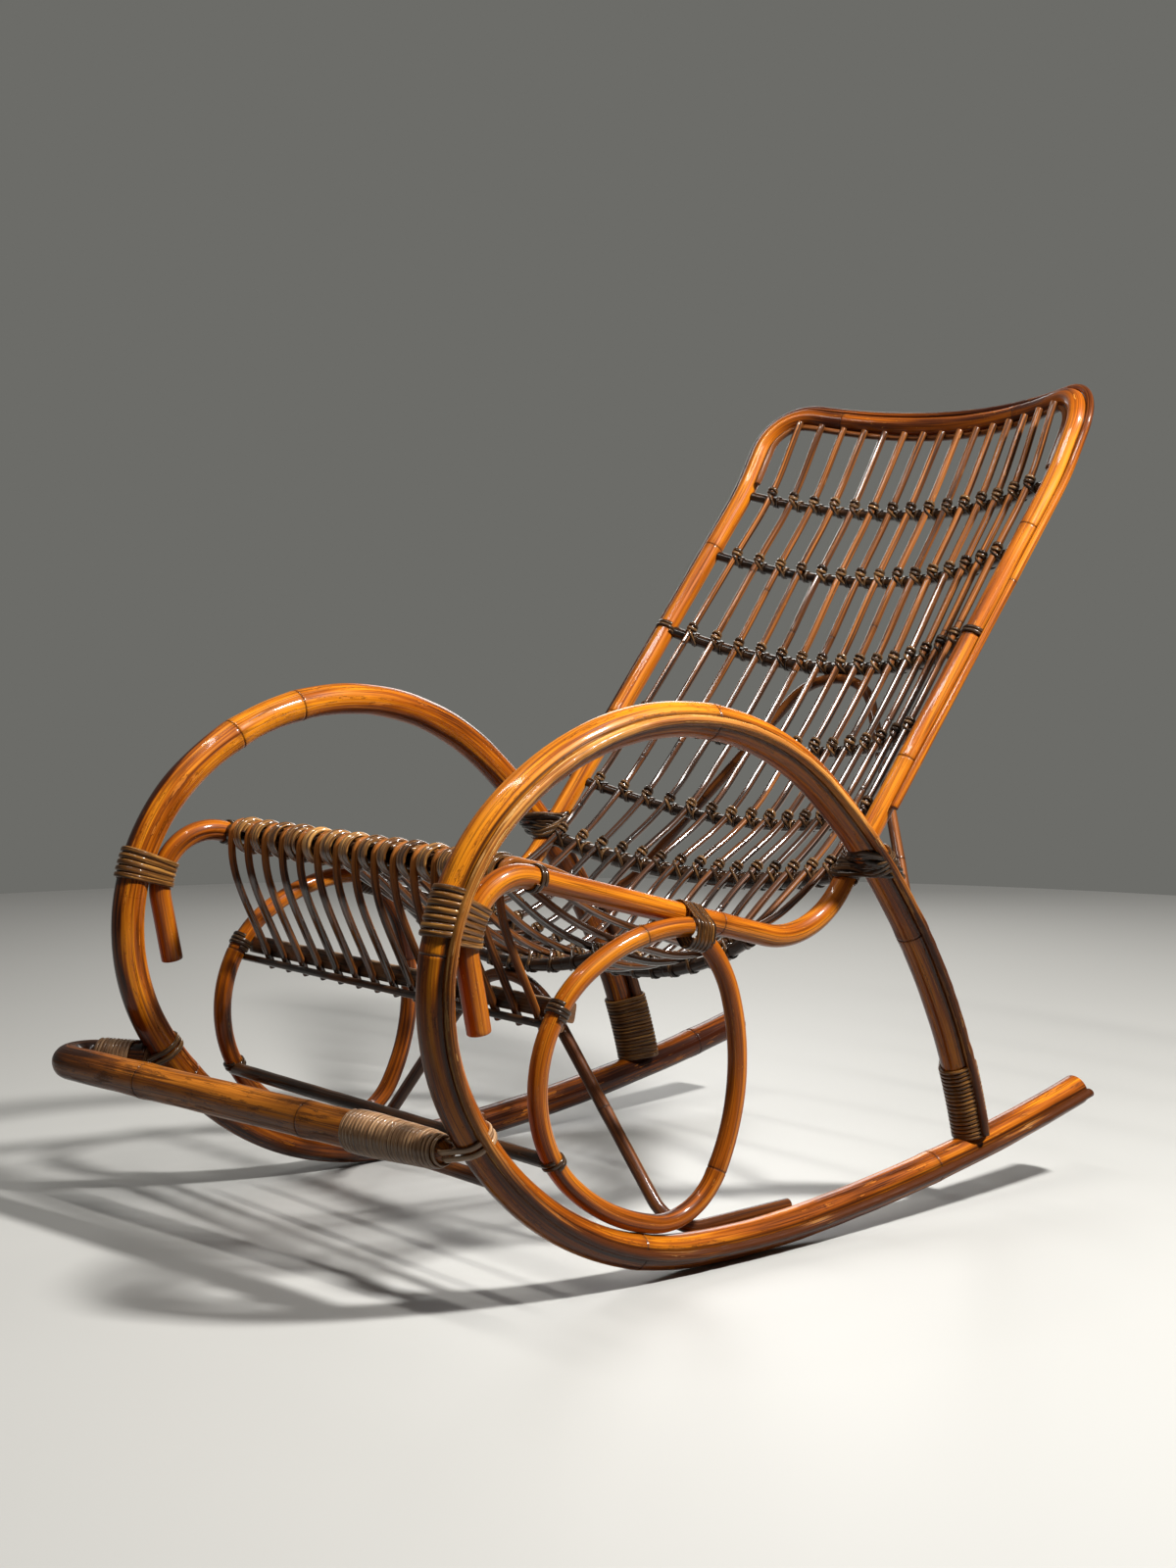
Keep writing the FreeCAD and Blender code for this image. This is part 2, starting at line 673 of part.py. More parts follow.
def edging_section(angle, relief):
    """Returns the strip's section at a turn of the hoop, with its base at relief above the pole."""
    base = hoop_point(angle, HALF + HOOP_R)
    across = hoop_inward(angle)
    rise = EDGING_HEIGHT - EDGING_SHOULDER
    dome = ((EDGING_WIDTH / 2) ** 2 + rise ** 2) / (2 * rise)
    dome_middle = EDGING_HEIGHT - dome
    spring = max(relief, EDGING_SHOULDER)
    reach = math.sqrt(dome ** 2 - (spring - dome_middle) ** 2)
    crown = base + V(EDGING_HEIGHT, 0, 0)
    left = base - across * reach + V(spring, 0, 0)
    right = base + across * reach + V(spring, 0, 0)
    outline = [Part.Arc(right, crown, left).toShape()]
    corners = [left, right]
    if relief < EDGING_SHOULDER:
        fall = V(relief - EDGING_SHOULDER, 0, 0)
        corners = [left, left + fall, right + fall, right]
    outline += [Part.LineSegment(a, b).toShape() for a, b in zip(corners, corners[1:])]
    return Part.Face(Part.Wire(outline))


def edging_spans(first_angle, last_angle, relief):
    """Returns the strip between two turns of the hoop, as one solid for each bend."""
    spans = []
    for first, last, _, y, z in HOOP_BENDS:
        start = max(first, first_angle)
        end = min(last, last_angle)
        if end > start:
            section = edging_section(start, relief)
            spans.append(section.revolve(V(HALF, y, z), V(-1, 0, 0), end - start))
    return spans


def half_angle(angle, length):
    """Returns the turn that a length of the hoop's pole takes about angle, to each side."""
    return math.degrees(length / 2 / hoop_radius(angle))


def hoop_edging():
    """Returns the left hoop's edging strip, relieved where it passes over cane and straps."""
    cane_reach = CLEAR + CANE + CLEAR
    strap_reach = CLEAR + FOOT_STRAP + CLEAR
    crossings = [
        (FOOT_RAIL_ANGLE, FOOT_STRAP + 4 * CLEAR, strap_reach),
        (FRONT_ANGLE, (FRONT_TURNS + 1) * FRONT_PITCH, cane_reach),
        (CROSSING_ANGLE, REAR_WIDTH, cane_reach),
        (LEG_BINDING_ANGLE, (LEG_TURNS + 1) * CANE_PITCH, cane_reach),
    ]
    tip_gap = HOOP_R - EDGING_WIDTH / 2 - EDGING_TIP_GAP
    spans = []
    reached = HOOP_REAR_ANGLE
    for angle, length, reach in crossings:
        half = half_angle(angle, length + 2 * CLEAR)
        spans += edging_spans(reached, angle - half, CLEAR)
        spans += edging_spans(angle - half, angle + half, reach)
        reached = angle + half
    spans += edging_spans(reached, LEG_END_ANGLE + math.degrees(tip_gap / LEG_RADIUS), CLEAR)
    return spans[0].multiFuse(spans[1:]).removeSplitter().Solids[0]


def crossing_miss(angle):
    """Returns how far in front of the stile's line the hoop's rear lies at a turn of angle."""
    return (hoop_point(angle, FRAME_X) - SEAT_CORNER).dot(V(0, cos(RECLINE), -sin(RECLINE)))


CROSSING_ANGLE = solve(crossing_miss, ARM_REAR_ANGLE, LEG_END_ANGLE)
CROSSING = hoop_point(CROSSING_ANGLE, HALF)
LEG_BINDING_ANGLE = LEG_END_ANGLE - math.degrees((LEG_BINDING_LIFT + LEG_TURNS * CANE_PITCH / 2) / LEG_RADIUS)
CROSSING_HEADING = hoop_heading(CROSSING_ANGLE)
REAR_ACROSS = unit(BACK_RISE - CROSSING_HEADING)
REAR_ALONG = REAR_ACROSS.cross(V(1, 0, 0))
REAR_HALF = (REAR_TURNS + 1) * CANE_PITCH / 2
REAR_WIDTH = 2 * (REAR_HALF + EDGING_WIDTH) / abs(CROSSING_HEADING.dot(REAR_ACROSS))


def front_binding():
    """Returns the cane round the left hoop and the seat rail's front bend."""
    curve = 1 / FRONT_RAIL_RADIUS - 1 / ARM_FRONT_RADIUS
    apart = HOOP_R + FRAME_R + CLEAR

    def circles(distance):
        turned = curve * distance
        rail = FRAME_R / math.cos(turned) + abs(turned) * FRONT_PITCH / 2 + CLEAR
        return [(0.0, 0.0, HOOP_R), (apart + turned * distance / 2, -FRONT_RAIL_INSET, rail)]

    return winding("front_binding", hoop_axis(FRONT_ANGLE, HALF, 1), circles, FRONT_TURNS, CANE, FRONT_PITCH)


def slanted_circles(u, v, heading, radius):
    """Returns two circles that hold a slanted pole over one turn of the rear lashing.

    Args:
        u: the pole's place in the lashing's first cross direction.
        v: its place in the second.
        heading: the pole's direction.
        radius: the pole's radius.
    """
    lean = abs(heading.dot(REAR_ACROSS))
    shift = radius * (1 / lean - 1) + abs(heading.dot(REAR_ALONG)) / lean * CANE_PITCH / 2
    return [(u, v - shift, radius), (u, v + shift, radius)]


def rear_lashing():
    """Returns the cane round the crossing of the left hoop and the back's stile."""
    def circles(distance):
        def miss(angle):
            return (hoop_point(angle, HALF) - CROSSING).dot(REAR_ACROSS) - distance

        swing = half_angle(CROSSING_ANGLE, 2 * REAR_WIDTH)
        angle = solve(miss, CROSSING_ANGLE - swing, CROSSING_ANGLE + swing)
        on_hoop = (hoop_point(angle, HALF) - CROSSING).dot(REAR_ALONG)
        on_stile = distance * BACK_RISE.dot(REAR_ALONG) / BACK_RISE.dot(REAR_ACROSS)
        hoop_part = slanted_circles(0.0, on_hoop, hoop_heading(angle), HOOP_R)
        return hoop_part + slanted_circles(FRAME_X - HALF, on_stile, BACK_RISE, FRAME_R)

    axis = straight_axis(CROSSING, V(1, 0, 0), REAR_ALONG)
    return winding("rear_lashing", axis, circles, REAR_TURNS, CANE, CANE_PITCH)


RAIL_LINE = unit(SEAT_CORNER - FRAME_POINTS[1])


def rail_at(y):
    """Returns the point of the left seat rail's centre line at y."""
    return SEAT_CORNER + RAIL_LINE * ((y - SEAT_CORNER.y) / RAIL_LINE.y)


def ring_nodes():
    """Returns the left ring's path as (point, direction) pairs, from its cut end to its rear end."""
    rail = rail_at(RING_CUT_Y)
    apart = FRAME_R + RING_POLE / 2 + 2 * CLEAR
    drop = math.sqrt(apart * apart - (HALF - rail.x) ** 2) / cos(SEAT_SLOPE)
    cut = V(HALF, RING_CUT_Y, rail.z - drop)
    front = V(HALF, RING_Y - RING_WIDTH / 2, RING_MIDDLE_Z)
    bottom = hoop_point(RING_CONTACT_ANGLE, HALF, HOOP_R + RING_POLE / 2 + CLEAR)
    rear = V(HALF, RING_Y + RING_WIDTH / 2, RING_MIDDLE_Z)
    end = V(HALF, RING_TIE_Y, cut.z - RING_END_DROP)
    return [
        (cut, V(0, -cos(RING_CUT_RISE), sin(RING_CUT_RISE))),
        (front, V(0, 0, -1)),
        (bottom, hoop_heading(RING_CONTACT_ANGLE) * -1),
        (rear, V(0, 0, 1)),
        (end, V(0, -cos(RING_END_RISE), sin(RING_END_RISE))),
    ]


def ring_binding():
    """Returns the cane that ties the left ring's rear end to the seat rail."""
    end, heading = ring_nodes()[-1]
    half = RING_TURNS * CANE_PITCH / 2 + CANE
    back = end - heading * (half / heading.Length / cos(RING_END_RISE))
    rail = rail_at(RING_TIE_Y)
    first = V(1, 0, 0)
    second = unit(SEAT_FALL.cross(first))
    circles = [((point - rail).dot(first), (point - rail).dot(second), radius)
               for point, radius in ((rail, FRAME_R + CLEAR), (end, RING_POLE / 2), (back, RING_POLE / 2))]
    axis = straight_axis(rail, first, second)
    return winding("ring_binding", axis, lambda distance: circles, RING_TURNS, CANE, CANE_PITCH)


BRACE_APART = HOOP_R + BRACE_POLE / 2 + CLEAR
BRACE_IN = BRACE_APART * cos(BRACE_FOOT_TURN)
BRACE_BEHIND = BRACE_APART * sin(BRACE_FOOT_TURN)


def leg_binding():
    """Returns the cane round the left rear leg and the tail of the back brace."""
    circles = [(0.0, 0.0, HOOP_R), (-BRACE_BEHIND, -BRACE_IN, BRACE_POLE / 2)]
    axis = hoop_axis(LEG_BINDING_ANGLE, HALF, 1)
    return winding("leg_binding", axis, lambda distance: circles, LEG_TURNS, CANE, CANE_PITCH)


# Pieces across the chair

def straight_bar(centre, reach, diameter):
    """Returns a round bar across the chair through centre, reaching as far to each side."""
    ends = (V(-reach, centre.y, centre.z), V(reach, centre.y, centre.z))
    return tube([Part.LineSegment(*ends).toShape()], diameter)


def apron_rail(envelopes):
    """Returns the flat bar behind the slats' lower ends."""
    heading = roll_node(tangent_angle(V(0, APRON_Y, APRON_Z), 1), 0.0)[1]
    behind = V(0, -heading.z, heading.y)
    centre = V(0, APRON_Y, APRON_Z) + behind * (SLAT_R + CLEAR + APRON_BAR_THICK / 2)
    bar = Part.makeBox(HOOP_SPACING, APRON_BAR_THICK, APRON_BAR_HEIGHT)
    bar.translate(V(-HALF, -APRON_BAR_THICK / 2, -APRON_BAR_HEIGHT / 2))
    long_edges = [edge for edge in bar.Edges if edge.Length > HALF]
    bar = bar.makeFillet(APRON_BAR_THICK / 3, long_edges)
    bar.rotate(V(0, 0, 0), V(1, 0, 0), math.degrees(math.atan2(behind.z, behind.y)))
    bar.translate(centre)
    return coped(bar, *envelopes)


def apron_clamp_rod(envelopes):
    """Returns the thin rod in front of the slats' lower ends."""
    heading = roll_node(tangent_angle(V(0, APRON_Y, APRON_Z), 1), 0.0)[1]
    front = V(0, heading.z, -heading.y)
    centre = V(0, APRON_Y, APRON_Z) + heading * APRON_ROD_DROP + front * (SLAT_R + CLEAR + APRON_ROD / 2)
    return coped(straight_bar(centre, HALF, APRON_ROD), *envelopes)


def ring_front_y(z):
    """Returns where the front of the rings' centre line lies at a height below its middle."""
    front, bottom = ring_nodes()[1][0], ring_nodes()[2][0]
    half_height = front.z - bottom.z
    return RING_Y - RING_WIDTH / 2 * math.sqrt(1 - ((front.z - z) / half_height) ** 2)


def strap_edges(start, side, outside):
    """Returns the path of a thinned pole end from start round one hoop.

    Args:
        start: where the strap leaves the pole.
        side: 1 for the left hoop and -1 for the right one.
        outside: 1 to pass round the hoop's outer side first, -1 for its inner side.
    """
    axis = hoop_point(FOOT_RAIL_ANGLE, side * HALF)
    out = hoop_inward(FOOT_RAIL_ANGLE) * -1
    round_ = V(side * outside, 0, 0)
    reach = HOOP_R + FOOT_STRAP / 2 + CLEAR
    corner_radius = HOOP_R
    points = [start, axis + out * reach + round_ * reach, axis - out * reach + round_ * reach,
              axis - out * reach - round_ * HOOP_R]
    return route(points, [corner_radius, corner_radius])


FOOT_HOOP = hoop_point(FOOT_RAIL_ANGLE, HALF)
FOOT_MAIN = V(-cos(FOOT_RAIL_SKEW), -sin(FOOT_RAIL_SKEW), 0)
FOOT_RETURN = V(cos(FOOT_RETURN_ANGLE), sin(FOOT_RETURN_ANGLE), 0)
FOOT_LEFT_END = V(HALF - HOOP_R - CLEAR, FOOT_HOOP.y - FOOT_RAIL_AHEAD, FOOT_HOOP.z)
FOOT_TURN = FOOT_LEFT_END + FOOT_MAIN * ((FOOT_LEFT_END.x + HALF + FOOT_RAIL_OUT) / cos(FOOT_RAIL_SKEW))
FOOT_RIGHT_END = V(-HALF, FOOT_HOOP.y - FOOT_RETURN_AHEAD, FOOT_HOOP.z)


def foot_rail(hoop_spaces):
    """Returns the foot rail with its thinned ends looped round the hoops."""
    return_start = FOOT_RIGHT_END - FOOT_RETURN * FOOT_RETURN_LENGTH
    path = through([(FOOT_LEFT_END, FOOT_MAIN), (FOOT_TURN, FOOT_MAIN),
                    (return_start, FOOT_RETURN), (FOOT_RIGHT_END, FOOT_RETURN)])
    pole = coped(tube(path, FOOT_RAIL), *hoop_spaces)
    level = FOOT_HOOP - hoop_inward(FOOT_RAIL_ANGLE) * (HOOP_R + FOOT_STRAP / 2 + CLEAR)
    left_start = V(FOOT_LEFT_END.x - FOOT_STRAP, level.y, level.z)
    right_start = V(-HALF - HOOP_R, level.y, level.z)
    left = tube(strap_edges(left_start, 1, 1), FOOT_STRAP)
    right = tube(strap_edges(right_start, -1, -1), FOOT_STRAP)
    return pole.fuse(left).fuse(right).removeSplitter().Solids[0]


def foot_rail_binding(left_side):
    """Returns the cane round one end of the foot rail."""
    turns = FOOT_LEFT_TURNS if left_side else FOOT_RIGHT_TURNS
    length = (turns + 1) * FOOT_PITCH
    if left_side:
        heading = FOOT_MAIN
        origin = FOOT_LEFT_END + heading * (length / 2 + FOOT_CANE)
    else:
        heading = FOOT_RETURN
        origin = FOOT_RIGHT_END - heading * (FOOT_RETURN_LENGTH - length / 2)
    first = unit(V(0, 0, 1).cross(heading))
    second = unit(heading.cross(first))
    circles = [(0.0, 0.0, FOOT_RAIL / 2)]
    axis = straight_axis(origin, first, second)
    name = "foot_rail_binding"
    return winding(name, axis, lambda distance: circles, turns, FOOT_CANE, FOOT_PITCH)


def seat_bar_wrapping():
    """Returns the cane wound round the front roll, one turn in each gap between the slats."""
    pitch = SLAT_SPAN_FRONT / (SLAT_COUNT - 1)
    axis = straight_axis(V(0, ROLL.y, ROLL.z), V(0, 0.6, -0.8), V(0, 0.8, 0.6))
    circles = [(0.0, 0.0, ROLL_POLE / 2)]
    return winding("seat_bar_wrapping", axis, lambda distance: circles, SLAT_COUNT - 1, ROLL_CANE, pitch)


def under_seat_arch(front_bar):
    """Returns the arch that carries the seat's front crossbar on the two rockers."""
    apart = HOOP_R + ARCH_POLE / 2 + CLEAR
    aside = V(-apart * cos(ARCH_FOOT_LIFT), 0, apart * sin(ARCH_FOOT_LIFT))
    apex = front_bar.point(0) + V(0, 0, -front_bar.diameter / 2 - ARCH_POLE / 2 - CLEAR)
    tail = hoop_point(rocker_angle(apex.y + ARCH_TAIL), HALF) + aside
    foot = hoop_point(rocker_angle(apex.y), HALF) + aside

    def corner_miss(corner_z):
        half_turn = math.atan2(corner_z - foot.z, foot.x)
        return corner_z - ARCH_APEX_RADIUS * (1 / math.cos(half_turn) - 1) - apex.z

    corner_z = solve(corner_miss, apex.z, apex.z + ARCH_APEX_RADIUS)
    points = [tail, foot, V(0, apex.y, corner_z), mirrored(foot), mirrored(tail)]
    return tube(route(points, [ARCH_FOOT_RADIUS, ARCH_APEX_RADIUS, ARCH_FOOT_RADIUS]), ARCH_POLE)


def back_arch_brace(row):
    """Returns the brace that carries a row of the back on the hoops' rear legs."""
    towards = row.diameter / 2 + SLAT_CLEAR - 3 * CLEAR - BRACE_POLE / 2
    apex = row.point(0, towards) - BACK_RISE * (row.diameter / 2 + BRACE_POLE / 2 + CLEAR)
    last_angle = LEG_END_ANGLE - math.degrees(CLEAR / LEG_RADIUS)
    meet = hoop_point(BRACE_MEET_ANGLE, HALF - BRACE_IN, -BRACE_BEHIND)
    end = hoop_point(last_angle, HALF - BRACE_IN, -BRACE_BEHIND)
    fall = V(0, meet.y - apex.y, meet.z - apex.z)
    turn = math.degrees(math.atan2(fall.Length, meet.x))
    shoulder = apex + V(BRACE_APEX_RADIUS * sin(turn), 0, 0)
    shoulder += unit(fall) * (BRACE_APEX_RADIUS * (1 - cos(turn)))
    leg = unit(meet - shoulder)
    ease = meet - leg * BRACE_EASE
    falling = [(apex, V(1, 0, 0)), (shoulder, leg), (ease, leg), (meet, hoop_heading(BRACE_MEET_ANGLE)),
               (end, hoop_heading(last_angle))]
    rising = [(mirrored(point), V(heading.x, -heading.y, -heading.z)) for point, heading in falling[:0:-1]]
    return tube(through(rising + falling), BRACE_POLE)


def under_cane(row):
    """Returns whether a crossbar's ends meet the frame where cane is wound round it."""
    on_stile = SEAT_CORNER + BACK_RISE * (CROSSING - SEAT_CORNER).dot(BACK_RISE)
    lashing_reach = REAR_HALF / abs(BACK_RISE.dot(REAR_ACROSS))
    ties = ((on_stile, lashing_reach), (rail_at(RING_TIE_Y), RING_TURNS * CANE_PITCH))
    return any((row.end - place).Length < reach + row.diameter / 2 for place, reach in ties)


def build():
    """Returns every piece by its name."""
    pieces = {}
    frame = tube(frame_edges(), FRAME_POLE)
    frame_space = tube(frame_edges(), FRAME_POLE + 2 * CLEAR)
    bound_space = tube(frame_edges(), FRAME_POLE + 2 * (CANE + 10 * CLEAR))
    left = {
        "hoop": hoop(),
        "hoop_edging": hoop_edging(),
        "ring": tube(through(ring_nodes()), RING_POLE),
        "front_binding": front_binding(),
        "rear_lashing": rear_lashing(),
        "ring_binding": ring_binding(),
        "leg_binding": leg_binding(),
    }
    for side, sign in SIDES:
        for name, solid in left.items():
            pieces[side + "_" + name] = solid if sign == 1 else solid.mirror(V(0, 0, 0), V(1, 0, 0))
    pieces["seat_back_frame"] = frame
    edging_foot = SEAT_CORNER + BACK_RISE * ((CROSSING - SEAT_CORNER).dot(BACK_RISE) + BACK_EDGING_FOOT)
    edging = top_rod_edges(FRAME_R + BACK_EDGING_ROD / 2 + CLEAR, edging_foot)
    pieces["back_edging_rod"] = tube(edging, BACK_EDGING_ROD)
    rod_foot = back_place(BACK_ROWS[0][1] + INNER_ROD_FOOT)
    inner = top_rod_edges(INNER_ROD_OFFSET, rod_foot)
    pieces["back_inner_rod"] = tube(inner, INNER_ROD)
    rows = crossbars()
    for row in rows:
        bound = under_cane(row)
        pieces[row.name] = row.solid(bound_space if bound else frame_space)
    for number in range(SLAT_COUNT):
        share = 2 * number / (SLAT_COUNT - 1) - 1
        pieces["slat_%02d" % (number + 1)] = tube(slat_edges(share, rows), SLAT_ROD)
    pieces["front_roll"] = coped(straight_bar(ROLL, ROLL.x, ROLL_POLE), frame_space)
    pieces["front_roll_wrapping"] = seat_bar_wrapping()
    hoop_space = hoop_envelope()
    hoop_spaces = [hoop_space, hoop_space.mirror(V(0, 0, 0), V(1, 0, 0))]
    ring_space = tube(through(ring_nodes()), RING_POLE + 2 * CLEAR)
    ring_spaces = [ring_space, ring_space.mirror(V(0, 0, 0), V(1, 0, 0))]
    pieces["apron_rail"] = apron_rail(ring_spaces)
    pieces["apron_clamp_rod"] = apron_clamp_rod(ring_spaces)
    stretcher = V(0, ring_front_y(RING_STRETCHER_Z), RING_STRETCHER_Z)
    pieces["ring_stretcher"] = coped(straight_bar(stretcher, HALF, RING_STRETCHER), *ring_spaces)
    rocker_place = hoop_point(ROCKER_STRETCHER_ANGLE, 0)
    pieces["rocker_stretcher"] = coped(straight_bar(rocker_place, HALF, ROCKER_STRETCHER), *hoop_spaces)
    pieces["foot_rail"] = foot_rail(hoop_spaces)
    pieces["left_foot_rail_binding"] = foot_rail_binding(True)
    pieces["right_foot_rail_binding"] = foot_rail_binding(False)
    pieces["under_seat_arch"] = under_seat_arch(rows[-1])
    pieces["back_arch_brace"] = back_arch_brace(rows[2])
    return pieces


def main():
    """Builds the chair and writes one file for each piece."""
    os.makedirs("parts", exist_ok=True)
    pieces = build()
    for name, solid in pieces.items():
        solid.exportStep("parts/" + name + ".step")
    print(len(pieces), "pieces, volume faults:", volume_faults)


main()
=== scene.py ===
"""Looks of a rattan rocking chair: varnished poles, slats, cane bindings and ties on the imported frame.

Metres. The frame's own axes hold: +X is the sitter's left, +Y is the rear and +Z is up.
"""
import logging
import math
from dataclasses import dataclass, replace
from enum import Enum
from functools import cached_property, partial
from typing import Callable, Optional, Sequence, Union

import bpy
import numpy as np
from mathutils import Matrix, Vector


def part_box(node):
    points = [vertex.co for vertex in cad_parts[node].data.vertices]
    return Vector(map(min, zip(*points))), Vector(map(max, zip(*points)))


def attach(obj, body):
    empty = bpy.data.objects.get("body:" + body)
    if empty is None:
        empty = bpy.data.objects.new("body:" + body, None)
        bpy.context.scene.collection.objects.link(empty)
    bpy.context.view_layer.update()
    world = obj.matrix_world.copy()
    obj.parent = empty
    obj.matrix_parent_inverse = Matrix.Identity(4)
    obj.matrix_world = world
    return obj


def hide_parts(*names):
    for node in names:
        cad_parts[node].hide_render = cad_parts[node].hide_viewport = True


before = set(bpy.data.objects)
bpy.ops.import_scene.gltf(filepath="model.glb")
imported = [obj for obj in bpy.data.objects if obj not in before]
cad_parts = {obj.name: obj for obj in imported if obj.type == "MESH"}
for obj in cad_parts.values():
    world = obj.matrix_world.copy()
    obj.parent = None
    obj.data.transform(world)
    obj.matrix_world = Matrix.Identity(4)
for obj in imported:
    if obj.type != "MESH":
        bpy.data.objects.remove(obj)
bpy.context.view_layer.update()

Array = np.ndarray
Colour = tuple[float, float, float]
Display = tuple[int, int, int]
Pairs = tuple[tuple[float, float], ...]
Number = Union[float, "Value"]
TAU = 2 * math.pi
MM = 0.001
BODY = "root"
UV_NAME = "pole"
LOG = logging.getLogger("rocking_chair")


class Side(Enum):
    """The two sides of the chair, by the sign of their X."""

    LEFT = 1
    RIGHT = -1

    @property
    def word(self) -> str:
        """The side's name, as the frame's nodes spell it."""
        return self.name.lower()


def display(red: int, green: int, blue: int) -> Colour:
    """Turns a display colour of 0 to 255 into the linear colour that shaders take.

    Args:
        red, green, blue: the display values.

    Returns:
        The linear colour.
    """
    share = np.array([red, green, blue]) / 255
    linear = np.where(share <= 0.04045, share / 12.92, ((share + 0.055) / 1.055) ** 2.4)
    return tuple(float(part) for part in linear)


def darker(colour: Colour, share: float) -> Colour:
    """Returns a linear colour at a share of its light."""
    return tuple(part * share for part in colour)


# Shader maths

class Value:
    """A node's output socket, with arithmetic that adds Math nodes."""

    def __init__(self, graph: "Graph", socket: bpy.types.NodeSocket) -> None:
        """Holds a socket of a graph."""
        self.graph = graph
        self.socket = socket

    def math(self, operation: str, *others: Number) -> "Value":
        """Adds a Math node on this value and the others."""
        return self.graph.node("ShaderNodeMath", {"operation": operation}, dict(enumerate((self, *others))))

    def __add__(self, other: Number) -> "Value":
        """The sum of this value and another."""
        return self.math("ADD", other)

    def __sub__(self, other: Number) -> "Value":
        """This value less another."""
        return self.math("SUBTRACT", other)

    def __rsub__(self, other: Number) -> "Value":
        """Another value less this one."""
        return (self * -1) + other

    def __mul__(self, other: Number) -> "Value":
        """This value times another."""
        return self.math("MULTIPLY", other)

    def __abs__(self) -> "Value":
        """This value without its sign."""
        return self.math("ABSOLUTE")

    __radd__ = __add__
    __rmul__ = __mul__

    def cos(self) -> "Value":
        """The cosine of this value, in radians."""
        return self.math("COSINE")

    def sin(self) -> "Value":
        """The sine of this value, in radians."""
        return self.math("SINE")

    def clamped(self) -> "Value":
        """This value, held between 0 and 1."""
        return self.graph.node("ShaderNodeClamp", {}, {0: self})

    def step(self, low: float, high: float) -> "Value":
        """A smooth step from 0 at low to 1 at high."""
        settings = {"interpolation_type": "SMOOTHSTEP"}
        return self.graph.node("ShaderNodeMapRange", settings, {0: self, 1: low, 2: high})


class Graph:
    """The node tree of a material or world, filled by method calls."""

    def __init__(self, owner: Union[bpy.types.Material, bpy.types.World]) -> None:
        """Empties the owner's node tree.

        Args:
            owner: the material or world.
        """
        owner.use_nodes = True
        self.owner = owner
        self.tree = owner.node_tree
        self.tree.nodes.clear()

    def node(self, kind: str, settings: dict, inputs: dict, output: Union[int, str] = 0) -> Value:
        """Adds a node.

        Args:
            kind: the node's type.
            settings: its properties, set first; the key stops sets a colour ramp.
            inputs: values or links by socket name or number.
            output: the socket to return.

        Returns:
            The output socket.
        """
        made = self.tree.nodes.new(kind)
        for key, setting in settings.items():
            if key == "stops":
                self._set_stops(made.color_ramp, setting)
            else:
                setattr(made, key, setting)
        for key, value in inputs.items():
            if isinstance(value, Value):
                self.tree.links.new(value.socket, made.inputs[key])
            else:
                made.inputs[key].default_value = value
        return Value(self, made.outputs[output])

    @staticmethod
    def _set_stops(ramp: bpy.types.ColorRamp, stops: Sequence[tuple[float, Colour]]) -> None:
        """Gives a colour ramp its stops.

        Args:
            ramp: the colour ramp.
            stops: the places and their colours.
        """
        while len(ramp.elements) < len(stops):
            ramp.elements.new(1.0)
        for element, (place, colour) in zip(ramp.elements, stops):
            element.position = place
            element.color = (*colour, 1.0)

    def attribute(self, name: str) -> Value:
        """Reads a number that the mesh holds at its points."""
        return self.node("ShaderNodeAttribute", {"attribute_name": name}, {}, "Fac")

    def vector(self, x: Number, y: Number, z: Number) -> Value:
        """Joins three numbers to a vector."""
        return self.node("ShaderNodeCombineXYZ", {}, {0: x, 1: y, 2: z})

    def noise(self, place: Value, scale: float, detail: float, roughness: float) -> Value:
        """Smooth noise about a half."""
        inputs = {"Vector": place, "Scale": scale, "Detail": detail, "Roughness": roughness}
        return self.node("ShaderNodeTexNoise", {}, inputs, 0)

    def ramp(self, value: Value, stops: Sequence[tuple[float, Colour]]) -> Value:
        """A colour from a ramp."""
        return self.node("ShaderNodeValToRGB", {"stops": stops}, {0: value})

    def mix(self, share: Number, low: Union[Value, Colour], high: Union[Value, Colour]) -> Value:
        """A colour between two colours."""
        ends = [end if isinstance(end, Value) else (*end, 1.0) for end in (low, high)]
        return self.node("ShaderNodeMix", {"data_type": "RGBA"}, {0: share, 6: ends[0], 7: ends[1]}, 2)

    def finish(self, surface: dict, height: Optional[Value], depth: float) -> bpy.types.Material:
        """Ends the graph in a Principled shader.

        Args:
            surface: the shader's inputs.
            height: what the bump follows, if any.
            depth: the bump's depth in metres.

        Returns:
            The material.
        """
        inputs = dict(surface)
        if height is not None:
            bump = {"Height": height, "Distance": depth, "Strength": 1.0}
            inputs["Normal"] = self.node("ShaderNodeBump", {}, bump)
        self.put_out(self.node("ShaderNodeBsdfPrincipled", {}, inputs), "ShaderNodeOutputMaterial")
        return self.owner

    def put_out(self, shader: Value, kind: str) -> None:
        """Links a shader to an output node of a kind."""
        output = self.tree.nodes.new(kind)
        self.tree.links.new(shader.socket, output.inputs["Surface"])

    def shown(self) -> Value:
        """Returns 1 for rays of the camera, of glossy surfaces and through clear ones, and 0 for others."""
        camera, glossy, clear = [self.node("ShaderNodeLightPath", {}, {}, name)
                                 for name in ("Is Camera Ray", "Is Glossy Ray", "Is Transmission Ray")]
        return camera.math("MAXIMUM", glossy).math("MAXIMUM", clear)


